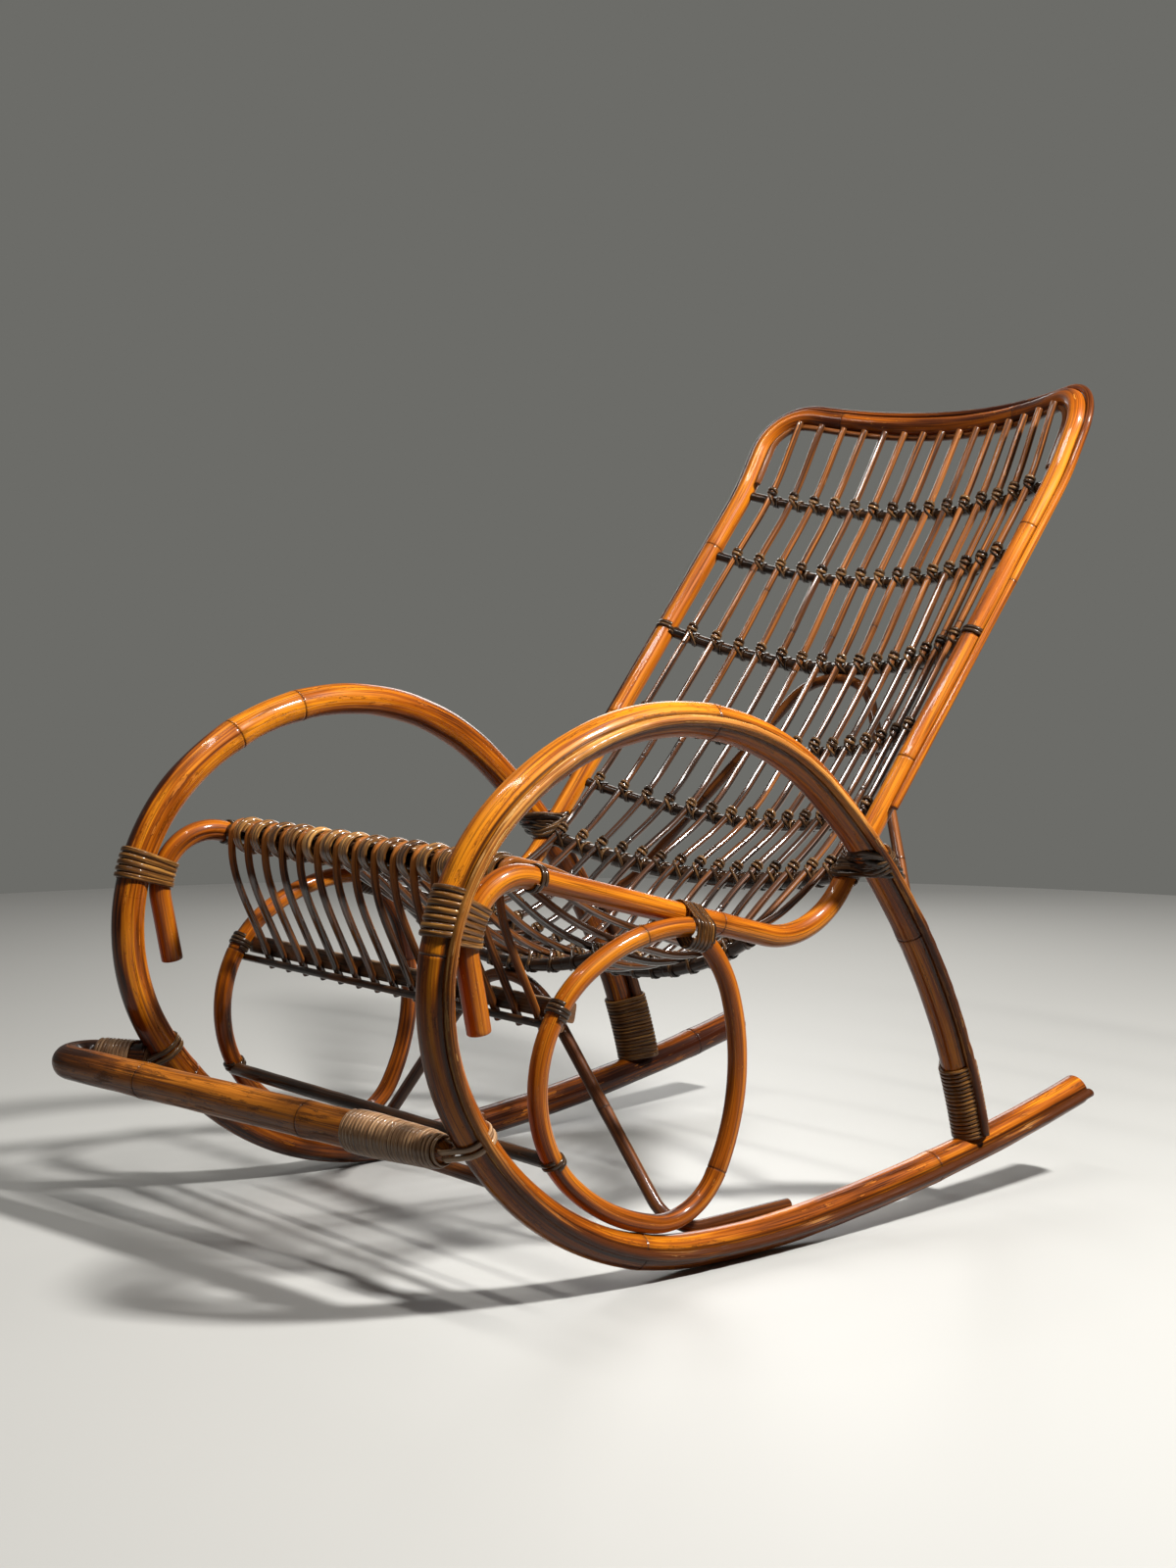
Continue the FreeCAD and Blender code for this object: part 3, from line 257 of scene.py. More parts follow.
class Grain:
    """Noise on a pole's own round and length, so that it runs along every bend."""

    SHIFT = 37.0           # how far apart two phases lie in the noise

    def __init__(self, graph: Graph) -> None:
        """Reads the place round and along the pole, and the phase.

        Args:
            graph: takes the nodes.
        """
        uv = graph.node("ShaderNodeUVMap", {"uv_map": UV_NAME}, {})
        around, self.along = [graph.node("ShaderNodeSeparateXYZ", {}, {0: uv}, axis) for axis in (0, 1)]
        turn = around * TAU
        self.graph = graph
        self.first, self.second = turn.cos(), turn.sin()
        self.shift = graph.attribute("phase") * self.SHIFT

    def noise(self, width: float, length: float, detail: float) -> Value:
        """Noise about a half.

        Args:
            width: how fine it is around the pole.
            length: how often it changes along the pole, in each metre.
            detail: how many finer layers it has.

        Returns:
            The noise.
        """
        place = self.graph.vector(self.first * width + self.shift, self.second * width,
                                  self.along * length + self.shift)
        return self.graph.noise(place, 1.0, detail, 0.6)


@dataclass(frozen=True)
class RattanFinish:
    """Varnished rattan or cane: long grain, dark veins, node rings, wear, painted light and shade from the
    mesh's marks, and a clear coat.

    Attributes:
        name: the material's name.
        dark, middle, light: its display colours.
        worn: the display colour of worn places.
        ridges: how fine the grain is around a pole.
        run: how often the grain changes along a pole, in each metre.
        contrast: how strongly the grain shows.
        wear: how much of the skin is worn, 0 to 1.
        flake: the size of the worn places, per metre of pole.
        gloss: the weight of the clear coat.
        rough: the roughness under the coat.
        relief: the depth of the grain in metres.
        shine: the coat's index of refraction.
        dulled: how much of the coat is lost where the shade is light.
    """

    name: str
    dark: Display
    middle: Display
    light: Display
    worn: Display
    ridges: float = 7.0
    run: float = 9.0
    contrast: float = 0.9
    wear: float = 0.25
    flake: float = 40.0
    gloss: float = 0.35
    rough: float = 0.36
    relief: float = 0.0004
    shine: float = 1.45
    dulled: float = 0.0

    LEVELS = (0.16, 0.46, 0.74)      # where the dark, middle and light colours lie
    BROAD = 1.1                      # how strongly the broad grain shows
    SHADE = 0.8                      # how strongly the mesh's tones show, painted light and shade among them
    VEIN = (0.004, 0.03)             # from a vein's middle to its edge
    FRAY = 0.35                      # how far the fine grain frays worn places
    CHIP = 0.035                     # how soon a worn place is bare
    KEPT = (-0.1, 0.3)               # the shades below which the skin is whole, and above which it wears
    RIM = (0.012, 0.02)              # how far outside a worn place its dark rim lies, and the rim's width
    CROOKED = 2.2 * MM               # how far a node ring strays
    RING = (0.5 * MM, 1.6 * MM)      # from a node ring's dark line to its edge
    HALO = 13 * MM                   # how far a node ring stains the skin
    DULL = (0.36, 0.46)              # the shades between which the coat is lost

    def material(self) -> bpy.types.Material:
        """Makes the material: the grain's colours, and then each mark mixed over them.

        Returns:
            The material.
        """
        graph = Graph(bpy.data.materials.new(self.name))
        shades = (self.dark, self.middle, self.light, self.worn)
        dark, middle, light, worn = [display(*shade) for shade in shades]
        knot, tone, edge = [graph.attribute(name) for name in ("knot", "tone", "edge")]
        grain = Grain(graph)
        fine = grain.noise(self.ridges, self.run, 4.0)
        broad = grain.noise(1.3, self.run * 0.5, 2.0)
        blot = grain.noise(self.ridges * 0.45, self.flake, 5.0)
        vein = 1 - abs(grain.noise(self.ridges * 0.32, self.run * 0.22, 1.0) - 0.5).step(*self.VEIN)
        level = (fine - 0.5) * self.contrast + (broad - 0.5) * self.BROAD + (tone - 0.5) * self.SHADE + 0.5
        worn_from = 0.70 - 0.22 * self.wear
        frayed = blot + (fine - 0.5) * self.FRAY
        bare = (frayed + edge.clamped() * 0.25).step(worn_from, worn_from + self.CHIP) * tone.step(*self.KEPT)
        rim = 1 - abs(frayed - worn_from + self.RIM[0]).step(0.0, self.RIM[1])
        crooked = abs(knot + (fine - 0.5) * self.CROOKED)
        ring = 1 - crooked.step(*self.RING)
        halo = 1 - crooked.step(0.0, self.HALO)
        # painted shade: where the edge mark is below 0, the crease beside a strip is darkened
        painted_crease_shade = (edge * -1).clamped()
        skin = graph.ramp(level, list(zip(self.LEVELS, (dark, middle, light))))
        for share, colour in ((vein * 0.5, dark), (rim * (0.9 * min(1.0, 2.6 * self.wear)), dark),
                              (bare * 0.7, worn), (halo * 0.22, dark), (ring * 0.6, darker(dark, 0.4)),
                              (painted_crease_shade * 0.9, darker(dark, 0.25))):
            skin = graph.mix(share, skin, colour)
        coat = (1 - bare * 0.5) * (1 - tone.step(*self.DULL) * self.dulled) * self.gloss
        surface = {
            "Base Color": skin,
            "Roughness": self.rough + bare * 0.28 + (fine - 0.5) * 0.2,
            "Coat Weight": coat.clamped(),
            "Coat Roughness": 0.08,
            "Coat IOR": self.shine,
            "Specular IOR Level": 0.12,
        }
        return graph.finish(surface, fine * 0.6 + blot * 0.3 - vein * 0.5 - bare * 0.35, self.relief)


@dataclass(frozen=True)
class EndGrain:
    """The cut end of a pole: pale wood with dark pores.

    Attributes:
        name: the material's name.
        wood, pore: its display colours.
    """

    name: str
    wood: Display
    pore: Display

    def material(self) -> bpy.types.Material:
        """Makes the material, as noise dots on the piece's own coordinates.

        Returns:
            The material.
        """
        graph = Graph(bpy.data.materials.new(self.name))
        pale, dark = display(*self.wood), display(*self.pore)
        place = graph.node("ShaderNodeTexCoord", {}, {}, "Object")
        pores = graph.noise(place, 900.0, 2.0, 0.5).step(0.5, 0.62)
        stain_and_painted_shade = graph.noise(place, 120.0, 3.0, 0.5)
        wood = graph.mix(stain_and_painted_shade, dark, pale)
        surface = {"Base Color": graph.mix(pores * 0.7, wood, dark), "Roughness": 0.75}
        return graph.finish(surface, pores * -1.0, 0.0003)


POLE = RattanFinish("pole_varnish", (60, 22, 3), (158, 78, 7), (226, 136, 22), (200, 116, 34),
                    contrast=1.05, wear=0.35, flake=26.0)
FRAME_POLE = RattanFinish("frame_pole_varnish", (60, 22, 3), (166, 84, 10), (220, 132, 24), (214, 138, 50),
                          contrast=0.5, wear=0.2, flake=60.0)
WORN_POLE = RattanFinish("worn_pole_varnish", (46, 20, 6), (142, 76, 18), (206, 122, 34), (84, 46, 22),
                         wear=0.5, flake=24.0, relief=0.0007)
RED_POLE = RattanFinish("red_pole_varnish", (38, 16, 6), (90, 46, 16), (142, 82, 34), (150, 100, 56),
                        wear=0.2)
EDGING = RattanFinish("edging_varnish", (76, 36, 10), (164, 96, 36), (208, 142, 66), (230, 176, 104),
                      ridges=3.0, wear=0.3, flake=30.0, gloss=0.25, rough=0.42)
SLAT = RattanFinish("slat_varnish", (22, 11, 5), (88, 48, 19), (164, 98, 42), (166, 112, 62),
                    ridges=2.6, run=7.0, contrast=0.8, wear=0.15, flake=55.0, gloss=1.0, rough=0.3,
                    relief=0.0002, shine=1.7, dulled=0.92)
APRON = RattanFinish("apron_varnish", (44, 30, 19), (106, 80, 57), (164, 130, 98), (150, 116, 84),
                     wear=0.3, gloss=0.4, rough=0.45)
BAR = RattanFinish("bar_varnish", (12, 7, 4), (34, 20, 11), (70, 43, 22), (104, 70, 44),
                   ridges=3.5, wear=0.2, gloss=0.6, rough=0.42)
CANE = RattanFinish("binding_cane", (30, 16, 6), (112, 70, 29), (192, 136, 66), (200, 150, 88),
                    ridges=2.0, run=30.0, wear=0.2, flake=90.0, gloss=0.4, rough=0.34, relief=0.00025)
BEAD = replace(CANE, name="bead_cane", dark=(22, 11, 4), middle=(110, 68, 29), light=(200, 146, 80),
               worn=(196, 148, 92), wear=0.15, gloss=1.0, rough=0.3, shine=1.75)
DARK_CANE = replace(CANE, name="dark_binding_cane", dark=(18, 10, 5), middle=(56, 36, 20),
                    light=(120, 86, 51), worn=(150, 114, 76), wear=0.15, gloss=0.5, rough=0.32, shine=1.5)
PALE_CANE = replace(CANE, name="pale_binding_cane", dark=(78, 52, 32), middle=(146, 108, 74),
                    light=(200, 160, 120), worn=(214, 180, 142), wear=0.25, gloss=0.7, rough=0.36)
CUT = EndGrain("cut_end", (150, 104, 62), (66, 38, 20))


class Finishes:
    """Makes each finish's material once."""

    made: dict[str, bpy.types.Material] = {}

    @classmethod
    def of(cls, finish: Union[RattanFinish, EndGrain]) -> bpy.types.Material:
        """Returns a finish's material, which is made at the first call."""
        if finish.name not in cls.made:
            cls.made[finish.name] = finish.material()
        return cls.made[finish.name]


# Paths and surfaces

def unit(vectors: Array) -> Array:
    """Returns vectors scaled to length one."""
    return vectors / np.linalg.norm(vectors, axis=-1, keepdims=True)


def full_turn(count: int) -> tuple[Array, Array]:
    """Returns even angles round a full turn, and the cosine and sine of each as pairs."""
    turn = np.arange(count) * TAU / count
    return turn, np.stack([np.cos(turn), np.sin(turn)], 1)


def between(pairs: Sequence[tuple[float, float]], places: Array) -> Array:
    """Returns values at places, by straight lines between (place, value) pairs."""
    return np.interp(places, *np.transpose(pairs))


def ripple(values: Array, seed: int, longest: float) -> Array:
    """Smooth wobble between about -1 and 1: a sum of sines with seeded lengths and phases.

    Args:
        values: where to take it.
        seed: which wobble.
        longest: the longest wave.

    Returns:
        The wobble at each value.
    """
    draw = np.random.default_rng(seed)
    waves = longest / draw.uniform(1.0, 6.0, 6)
    phases = draw.uniform(0.0, TAU, 6)
    return np.sin(np.asarray(values)[..., None] * TAU / waves + phases).sum(-1) / 3.5


class Line:
    """A path in space: points and the metres that each lies along it."""

    def __init__(self, points: Array) -> None:
        """Measures the path.

        Args:
            points: its points in order.
        """
        self.points = np.asarray(points, float)
        spans = np.linalg.norm(np.diff(self.points, axis=0), axis=1)
        self.along = np.concatenate([[0.0], np.cumsum(spans)])
        self.length = float(self.along[-1])
        self.headings = self._headings()

    def _headings(self) -> Array:
        """Finds the directions at the points, from the runs on both sides weighted by their squared lengths.

        Returns:
            The directions.
        """
        runs = np.diff(self.points, axis=0)
        spans = np.linalg.norm(runs, axis=1, keepdims=True)
        if len(runs) == 1:
            return unit(np.repeat(runs, 2, axis=0))
        inner = unit(runs[:-1] * spans[:-1] + runs[1:] * spans[1:])
        chords = unit(runs[[0, -1]])
        ends = 2 * chords * (chords * inner[[0, -1]]).sum(1, keepdims=True) - inner[[0, -1]]
        return np.concatenate([ends[:1], inner, ends[1:]])

    def at(self, distances: Array) -> tuple[Array, Array]:
        """Follows the path, by a cubic in each run that meets the directions at both its points.

        Args:
            distances: how far along the path.

        Returns:
            The places and the directions there.
        """
        distances = np.clip(distances, 0.0, self.length)
        spot = np.clip(np.searchsorted(self.along, distances, side="right") - 1, 0, len(self.points) - 2)
        span = (self.along[spot + 1] - self.along[spot])[:, None]
        t = (distances - self.along[spot])[:, None] / span
        start, end = self.points[spot], self.points[spot + 1]
        leave, arrive = self.headings[spot] * span, self.headings[spot + 1] * span
        places = ((2 * t**3 - 3 * t**2 + 1) * start + (t**3 - 2 * t**2 + t) * leave
                  + (3 * t**2 - 2 * t**3) * end + (t**3 - t**2) * arrive)
        slopes = ((6 * t**2 - 6 * t) * (start - end) + (3 * t**2 - 4 * t + 1) * leave
                  + (3 * t**2 - 2 * t) * arrive)
        return places, unit(slopes)

    def nearest(self, place: Array, step: float = 0.001) -> float:
        """Returns how far along the path the point nearest to a place lies."""
        distances = np.arange(0.0, self.length, step)
        return float(distances[np.argmin(np.linalg.norm(self.at(distances)[0] - place, axis=1))])


def carried(headings: Array, start: Array) -> tuple[Array, Array]:
    """Carries a side direction along a path without twist.

    Args:
        headings: the path's directions.
        start: the side direction to begin with.

    Returns:
        The first and second side directions at each station.
    """
    sides = np.empty_like(headings)
    side = np.asarray(start, float)
    for station, heading in enumerate(headings):
        side = unit(side - heading * side.dot(heading))
        sides[station] = side
    return sides, np.cross(headings, sides)


class CentreLines:
    """Reads the centre lines of the frame's tubes, each once."""

    GRID = 2 * MM          # middles this near count as one
    JOIN = 1.5 * MM        # stations this near along the tube are one
    FEWEST = 5             # wall points that make a station

    made: dict[str, Line] = {}

    @classmethod
    def of(cls, node: str, radius: float, begins: Sequence[float]) -> Line:
        """Returns a tube's centre line.

        Each wall point less the radius along its normal lies on the centre line; the mesh's edges
        say which middles are neighbours, and the shortest way from one end orders them.

        Args:
            node: the tube's node.
            radius: the tube's radius.
            begins: the direction in which the line's first end lies further.

        Returns:
            The centre line.
        """
        if node not in cls.made:
            places, triangles = cls.mesh(node)
            middles = places - radius * cls._normals(places, triangles)
            points = cls._ordered(middles, triangles)
            if (points[0] - points[-1]).dot(begins) < 0:
                points = points[::-1]
            cls.made[node] = Line(points)
        return cls.made[node]

    @staticmethod
    def mesh(node: str) -> tuple[Array, Array]:
        """Reads a node's mesh.

        Args:
            node: the node.

        Returns:
            Its points and triangles.
        """
        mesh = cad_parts[node].data
        places = np.empty(len(mesh.vertices) * 3)
        mesh.vertices.foreach_get("co", places)
        mesh.calc_loop_triangles()
        triangles = np.empty(len(mesh.loop_triangles) * 3, np.int32)
        mesh.loop_triangles.foreach_get("vertices", triangles)
        return places.reshape(-1, 3), triangles.reshape(-1, 3)

    @staticmethod
    def _normals(places: Array, triangles: Array) -> Array:
        """Finds the points' normals, each triangle weighted by its angle at the point.

        Args:
            places: the points.
            triangles: the triangles.

        Returns:
            The normals.
        """
        corners = places[triangles]
        faces = unit(np.cross(corners[:, 1] - corners[:, 0], corners[:, 2] - corners[:, 0]) + 1e-30)
        normals = np.zeros_like(places)
        for corner in range(3):
            sides = unit(corners[:, [(corner + 1) % 3, (corner + 2) % 3]] - corners[:, [corner]] + 1e-30)
            angles = np.arccos(np.clip((sides[:, 0] * sides[:, 1]).sum(1), -1, 1))
            np.add.at(normals, triangles[:, corner], faces * angles[:, None])
        return unit(normals + 1e-30)

    @staticmethod
    def _reach(start: int, count: int, pairs: Array, spans: Array) -> Array:
        """Measures the shortest ways from one middle to all the others, edge by edge until none gets shorter.

        Args:
            start: the middle to begin at.
            count: how many middles there are.
            pairs: which of them are neighbours, both ways round.
            spans: how far apart each pair lies.

        Returns:
            Each middle's distance, infinite where no way leads.
        """
        reach = np.full(count, np.inf)
        reach[start] = 0.0
        for _ in range(count):
            before = reach.copy()
            np.minimum.at(reach, pairs[:, 1], reach[pairs[:, 0]] + spans)
            if np.array_equal(before, reach):
                break
        return reach

    @classmethod
    def _ordered(cls, middles: Array, triangles: Array) -> Array:
        """Gathers the middles to stations, and puts them in order from one end of the largest group.

        Args:
            middles: each wall point's middle.
            triangles: the wall's triangles.

        Returns:
            The stations of the centre line.
        """
        _, owner, members = np.unique(np.round(middles / cls.GRID).astype(int), axis=0,
                                      return_inverse=True, return_counts=True)
        owner = owner.ravel()
        means = np.stack([np.bincount(owner, middles[:, axis]) for axis in range(3)], 1) / members[:, None]
        pairs = owner[triangles[:, [0, 1, 1, 2, 2, 0]].reshape(-1, 2)]
        kept = members >= cls.FEWEST
        pairs = np.unique(np.sort(pairs[kept[pairs].all(1)], axis=1), axis=0)
        pairs = np.concatenate([pairs, pairs[:, ::-1]])
        spans = np.linalg.norm(means[pairs[:, 0]] - means[pairs[:, 1]], axis=1)
        group = np.arange(len(means))
        for _ in range(len(means)):
            np.minimum.at(group, pairs[:, 1], group[pairs[:, 0]])
        reach = cls._reach(int(np.bincount(group[kept]).argmax()), len(means), pairs, spans)
        furthest = int(np.argmax(np.where(np.isfinite(reach), reach, -1.0)))
        reach = cls._reach(furthest, len(means), pairs, spans)
        found = np.flatnonzero(np.isfinite(reach) & kept)
        order = found[np.argsort(reach[found])]
        station = np.concatenate([[0], np.cumsum(np.diff(reach[order]) > cls.JOIN)])
        weight = members[order]
        sums = [np.bincount(station, means[order, axis] * weight) for axis in range(3)]
        return np.stack(sums, 1) / np.bincount(station, weight)[:, None]


class Skin:
    """Gathers swept grids of points and makes one mesh piece of them."""

    def __init__(self) -> None:
        """Starts with nothing gathered."""
        self.places: list[Array] = []
        self.marks: dict[str, list[Array]] = {"knot": [], "tone": [], "edge": [], "phase": []}
        self.loops: list[Array] = []
        self.sizes: list[Array] = []
        self.uv: list[Array] = []
        self.caps: list[Array] = []
        self.count = 0

    def sweep(self, grid: Array, along: Array, knot: Optional[Array] = None, tone: Optional[Array] = None,
              edge: Optional[Array] = None, phase: float = 0.0, ring: bool = False) -> None:
        """Adds a surface whose rows are sections along a path and whose columns run round the section.

        Args:
            grid: the points, by row, column and axis.
            along: each row's distance along the path.
            knot: each row's distance from the nearest node ring.
            tone: each row's tone, or each point's, 0 to 1; on some pieces it holds painted light and shade.
            edge: each column's share of edge wear, or of painted crease shade where below 0.
            phase: which part of the grain's noise it shows.
            ring: whether the last row joins the first; otherwise the ends are closed.
        """
        rows, columns = grid.shape[:2]
        index = np.arange(rows * columns).reshape(rows, columns) + self.count
        lower = index if ring else index[:-1]
        upper = np.roll(index, -1, 0) if ring else index[1:]
        quads = np.stack([lower, np.roll(lower, -1, 1), np.roll(upper, -1, 1), upper], -1).reshape(-1, 4)
        u = np.arange(columns) / columns
        reach = np.append(along, along[-1] + (along[-1] - along[-2])) if ring else along
        low_v, high_v = reach[:-1][:, None], reach[1:][:, None]
        shape = (len(reach) - 1, columns)
        us = [np.broadcast_to(part, shape) for part in (u, u + 1 / columns, u + 1 / columns, u)]
        vs = [np.broadcast_to(part, shape) for part in (low_v, low_v, high_v, high_v)]
        self.loops.append(quads.ravel())
        self.sizes.append(np.full(len(quads), 4))
        self.caps.append(np.zeros(len(quads), bool))
        self.uv.append(np.stack([np.stack(us, -1), np.stack(vs, -1)], -1).reshape(-1, 2))
        if not ring:
            self.loops += [index[0, ::-1], index[-1]]
            self.sizes += [np.array([columns])] * 2
            self.caps += [np.ones(1, bool)] * 2
            self.uv += [np.zeros((columns, 2))] * 2
        self.places.append(grid.reshape(-1, 3))
        marks = {"knot": (knot, 1.0, 1), "tone": (tone, 0.5, 1), "edge": (edge, 0.0, 0),
                 "phase": (None, phase, 1)}
        for name, (mark, blank, axis) in marks.items():
            spread = np.array(blank) if mark is None else mark
            if spread.ndim == 1:
                spread = np.expand_dims(spread, axis)
            self.marks[name].append(np.broadcast_to(spread, (rows, columns)).ravel())
        self.count += rows * columns

    def piece(self, name: str, finish: RattanFinish,
              replaces: Sequence[str] = ()) -> bpy.types.Object:
        """Makes the mesh piece, which rides on the chair.

        Args:
            name: the piece's name.
            finish: its finish.
            replaces: the nodes that it stands for.

        Returns:
            The piece.
        """
        mesh = bpy.data.meshes.new(name)
        places = np.concatenate(self.places)
        loops = np.concatenate(self.loops)
        sizes = np.concatenate(self.sizes)
        caps = np.concatenate(self.caps)
        mesh.vertices.add(len(places))
        mesh.vertices.foreach_set("co", places.astype(np.float32).ravel())
        mesh.loops.add(len(loops))
        mesh.loops.foreach_set("vertex_index", loops.astype(np.int32))
        mesh.polygons.add(len(sizes))
        starts = np.cumsum(sizes) - sizes
        mesh.polygons.foreach_set("loop_start", starts.astype(np.int32))
        mesh.polygons.foreach_set("material_index", caps.astype(np.int32))
        mesh.polygons.foreach_set("use_smooth", ~caps)
        mesh.update(calc_edges=True)
        layer = mesh.uv_layers.new(name=UV_NAME)
        layer.data.foreach_set("uv", np.concatenate(self.uv).astype(np.float32).ravel())
        for mark, parts in self.marks.items():
            attribute = mesh.attributes.new(mark, "FLOAT", "POINT")
            attribute.data.foreach_set("value", np.concatenate(parts).astype(np.float32))
        mesh.materials.append(Finishes.of(finish))
        mesh.materials.append(Finishes.of(CUT))
        made = bpy.data.objects.new(name, mesh)
        bpy.context.scene.collection.objects.link(made)
        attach(made, BODY)
        if replaces:
            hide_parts(*replaces)
        LOG.info("%s: %d faces", name, len(sizes))
        return made


def round_grid(places: Array, first: Array, second: Array, radii: Array, columns: int) -> Array:
    """Circles round a path: place + radius (cos a first + sin a second) for a from 0 to a full turn.

    Args:
        places: the stations.
        first, second: the side directions there.
        radii: the radius at each station, or at each station and column.
        columns: points in a circle.

    Returns:
        The grid of points.
    """
    turn, _ = full_turn(columns)
    radii = np.broadcast_to(np.reshape(radii, (len(places), -1)), (len(places), columns))
    spokes = np.cos(turn)[None, :, None] * first[:, None] + np.sin(turn)[None, :, None] * second[:, None]
    return places[:, None] + radii[..., None] * spokes


@dataclass(frozen=True)
class Pole:
    """A pole of rattan with node rings along it.

    Attributes:
        node: the frame's node that it stands for.
        radius: its radius.
        begins: the direction in which its first end lies further.
        finish: its finish.
        knots: how far along it the node rings lie.
        columns: points round it.
        seed: its irregular shape.
        step: the distance between its sections.
        shades: tones at places along it, as (metres, tone) pairs; below 0, metres from its end.
        strip: the direction in which a strip lies on it, if any; painted shade darkens the creases beside the
            strip.
        taper: shares of its radius at places along it, as (metres, share) pairs.
        stain_and_painted_shade: how much darker painted shade makes its side that faces forwards and to the
            chair's right, away from the rear lamp, at places along it, as (metres, tone) pairs.
    """

    node: str
    radius: float
    begins: tuple[float, float, float]
    finish: RattanFinish
    knots: tuple[float, ...] = ()
    columns: int = 24
    seed: int = 1
    step: float = 6 * MM
    shades: Pairs = ((0.0, 0.5),)
    strip: Optional[tuple[float, float, float]] = None
    taper: Pairs = ((0.0, 1.0),)
    stain_and_painted_shade: Pairs = ((0.0, 0.0),)

    CHAMFER = 1.2 * MM
    SWELL = (0.035, 11 * MM)         # at a node ring: share of the radius, and reach along the pole
    GROOVE = (-0.05, 0.8 * MM)       # the same for the fine groove in it
    WAVER, OVAL = 0.008, 0.01        # shares of the radius
    KNOT_STATIONS = np.array([-14, -9, -5.5, -3, -1.6, -0.8, -0.3, 0.2, 0.8, 1.8, 3.5, 6, 10]) * MM
    ASKEW = (0.31, 0.2, 0.93)        # a direction that no pole begins in
    PAINTED_CREASE = (0.36, 0.11)            # radians from the strip's middle to the painted crease shade, and half its width
    PAINTED_SHADE_SIDE = (-0.64, -0.77, 0.0)    # the side that painted shade darkens: forwards and to the chair's right, away from the rear lamp
    PAINTED_SHADE_EDGE = (0.3, 0.2, 0.14)    # where the painted shade begins by facing, over how much, and how far it wanders

    @property
    def line(self) -> Line:
        """The pole's centre line."""
        return CentreLines.of(self.node, self.radius, self.begins)

    @property
    def length(self) -> float:
        """The pole's length."""
        return self.line.length

    def stations(self) -> Array:
        """Spaces the sections: even steps, and more at the ends and node rings.

        Returns:
            Their distances along the pole.
        """
        even = np.linspace(0.0, self.length, max(3, int(self.length / self.step)))
        near_knots = (np.array(self.knots)[:, None] + self.KNOT_STATIONS).ravel()
        ends = np.array([self.CHAMFER * 0.4, self.CHAMFER])
        every = np.concatenate([even, near_knots, ends, self.length - ends])
        every = np.unique(np.round(every[(every >= 0) & (every <= self.length)], 5))
        return every[np.concatenate([[True], np.diff(every) > 0.1 * MM])]

    def knot_marks(self, stations: Array) -> Array:
        """Measures how far stations lie from their nearest node rings.

        Args:
            stations: the sections' distances along the pole.

        Returns:
            The distances, below 0 before a ring, or 1 where there is none.
        """
        if not self.knots:
            return np.ones_like(stations)
        apart = stations[:, None] - np.array(self.knots)
        return np.clip(apart[np.arange(len(stations)), np.argmin(abs(apart), axis=1)], -0.06, 0.06)

    def tone_marks(self, stations: Array) -> Array:
        """The given shades at stations, and a small change at each node ring."""
        changes = np.random.default_rng(self.seed).uniform(-0.09, 0.09, len(self.knots) + 1)
        shades = [(place if place >= 0 else self.length + place, tone) for place, tone in self.shades]
        return between(shades, stations) + changes[np.searchsorted(np.array(self.knots), stations)]

    def painted_shade_marks(self, stations: Array, spokes: Array) -> Array:
        """How much darker the painted shade makes each point: fully so where it faces away from the rear
        lamp.

        Args:
            stations: the sections' distances along the pole.
            spokes: each point's direction from the centre line.

        Returns:
            The tone to take off, by station and column.
        """
        begins, over, wander = self.PAINTED_SHADE_EDGE
        facing = spokes @ np.array(self.PAINTED_SHADE_SIDE) + wander * ripple(stations, self.seed, 0.3)[:, None]
        return between(self.stain_and_painted_shade, stations)[:, None] * np.clip((facing - begins) / over, 0, 1)

    def radii(self, stations: Array) -> Array:
        """Radius by station and column.

        A pole's radius wavers by a hundredth, swells towards a node ring, has a fine groove at it,
        draws in at its cut ends, and follows the taper.

        Args:
            stations: the sections' distances along the pole.

        Returns:
            The radii.
        """
        apart = self.knot_marks(stations)
        bumps = sum(share * np.exp(-((apart / reach) ** 2)) for share, reach in (self.SWELL, self.GROOVE))
        waver = self.WAVER * ripple(stations, self.seed, 0.4)
        to_end = np.minimum(stations, self.length - stations)
        chamfer = -0.1 * np.clip(1 - to_end / self.CHAMFER, 0, 1) ** 2
        turn, _ = full_turn(self.columns)
        oval = self.OVAL * np.cos(2 * turn + 3 * ripple(stations, self.seed + 7, 0.9)[:, None])
        along = (bumps + waver + chamfer)[:, None]
        return self.radius * between(self.taper, stations)[:, None] * (1 + along + oval)

    def build(self) -> None:
        """Sweeps the pole and makes its piece."""
        stations = self.stations()
        places, headings = self.line.at(stations)
        first, second = carried(headings, np.cross(headings[0], self.ASKEW))
        grid = round_grid(places, first, second, self.radii(stations), self.columns)
        spokes = unit(grid - places[:, None])
        # painted shade darkens the side away from the rear lamp
        tone = self.tone_marks(stations)[:, None] - self.painted_shade_marks(stations, spokes)
        edge = None
        if self.strip is not None:
            # painted shade: a dark crease on the pole beside the strip
            apart = np.arccos(np.clip(spokes[0] @ np.array(self.strip), -1, 1))
            edge = -np.exp(-(((apart - self.PAINTED_CREASE[0]) / self.PAINTED_CREASE[1]) ** 2))
        skin = Skin()
        skin.sweep(grid, stations, self.knot_marks(stations), tone, edge, self.seed % 17)
        skin.piece(self.node + "_pole", self.finish, [self.node])


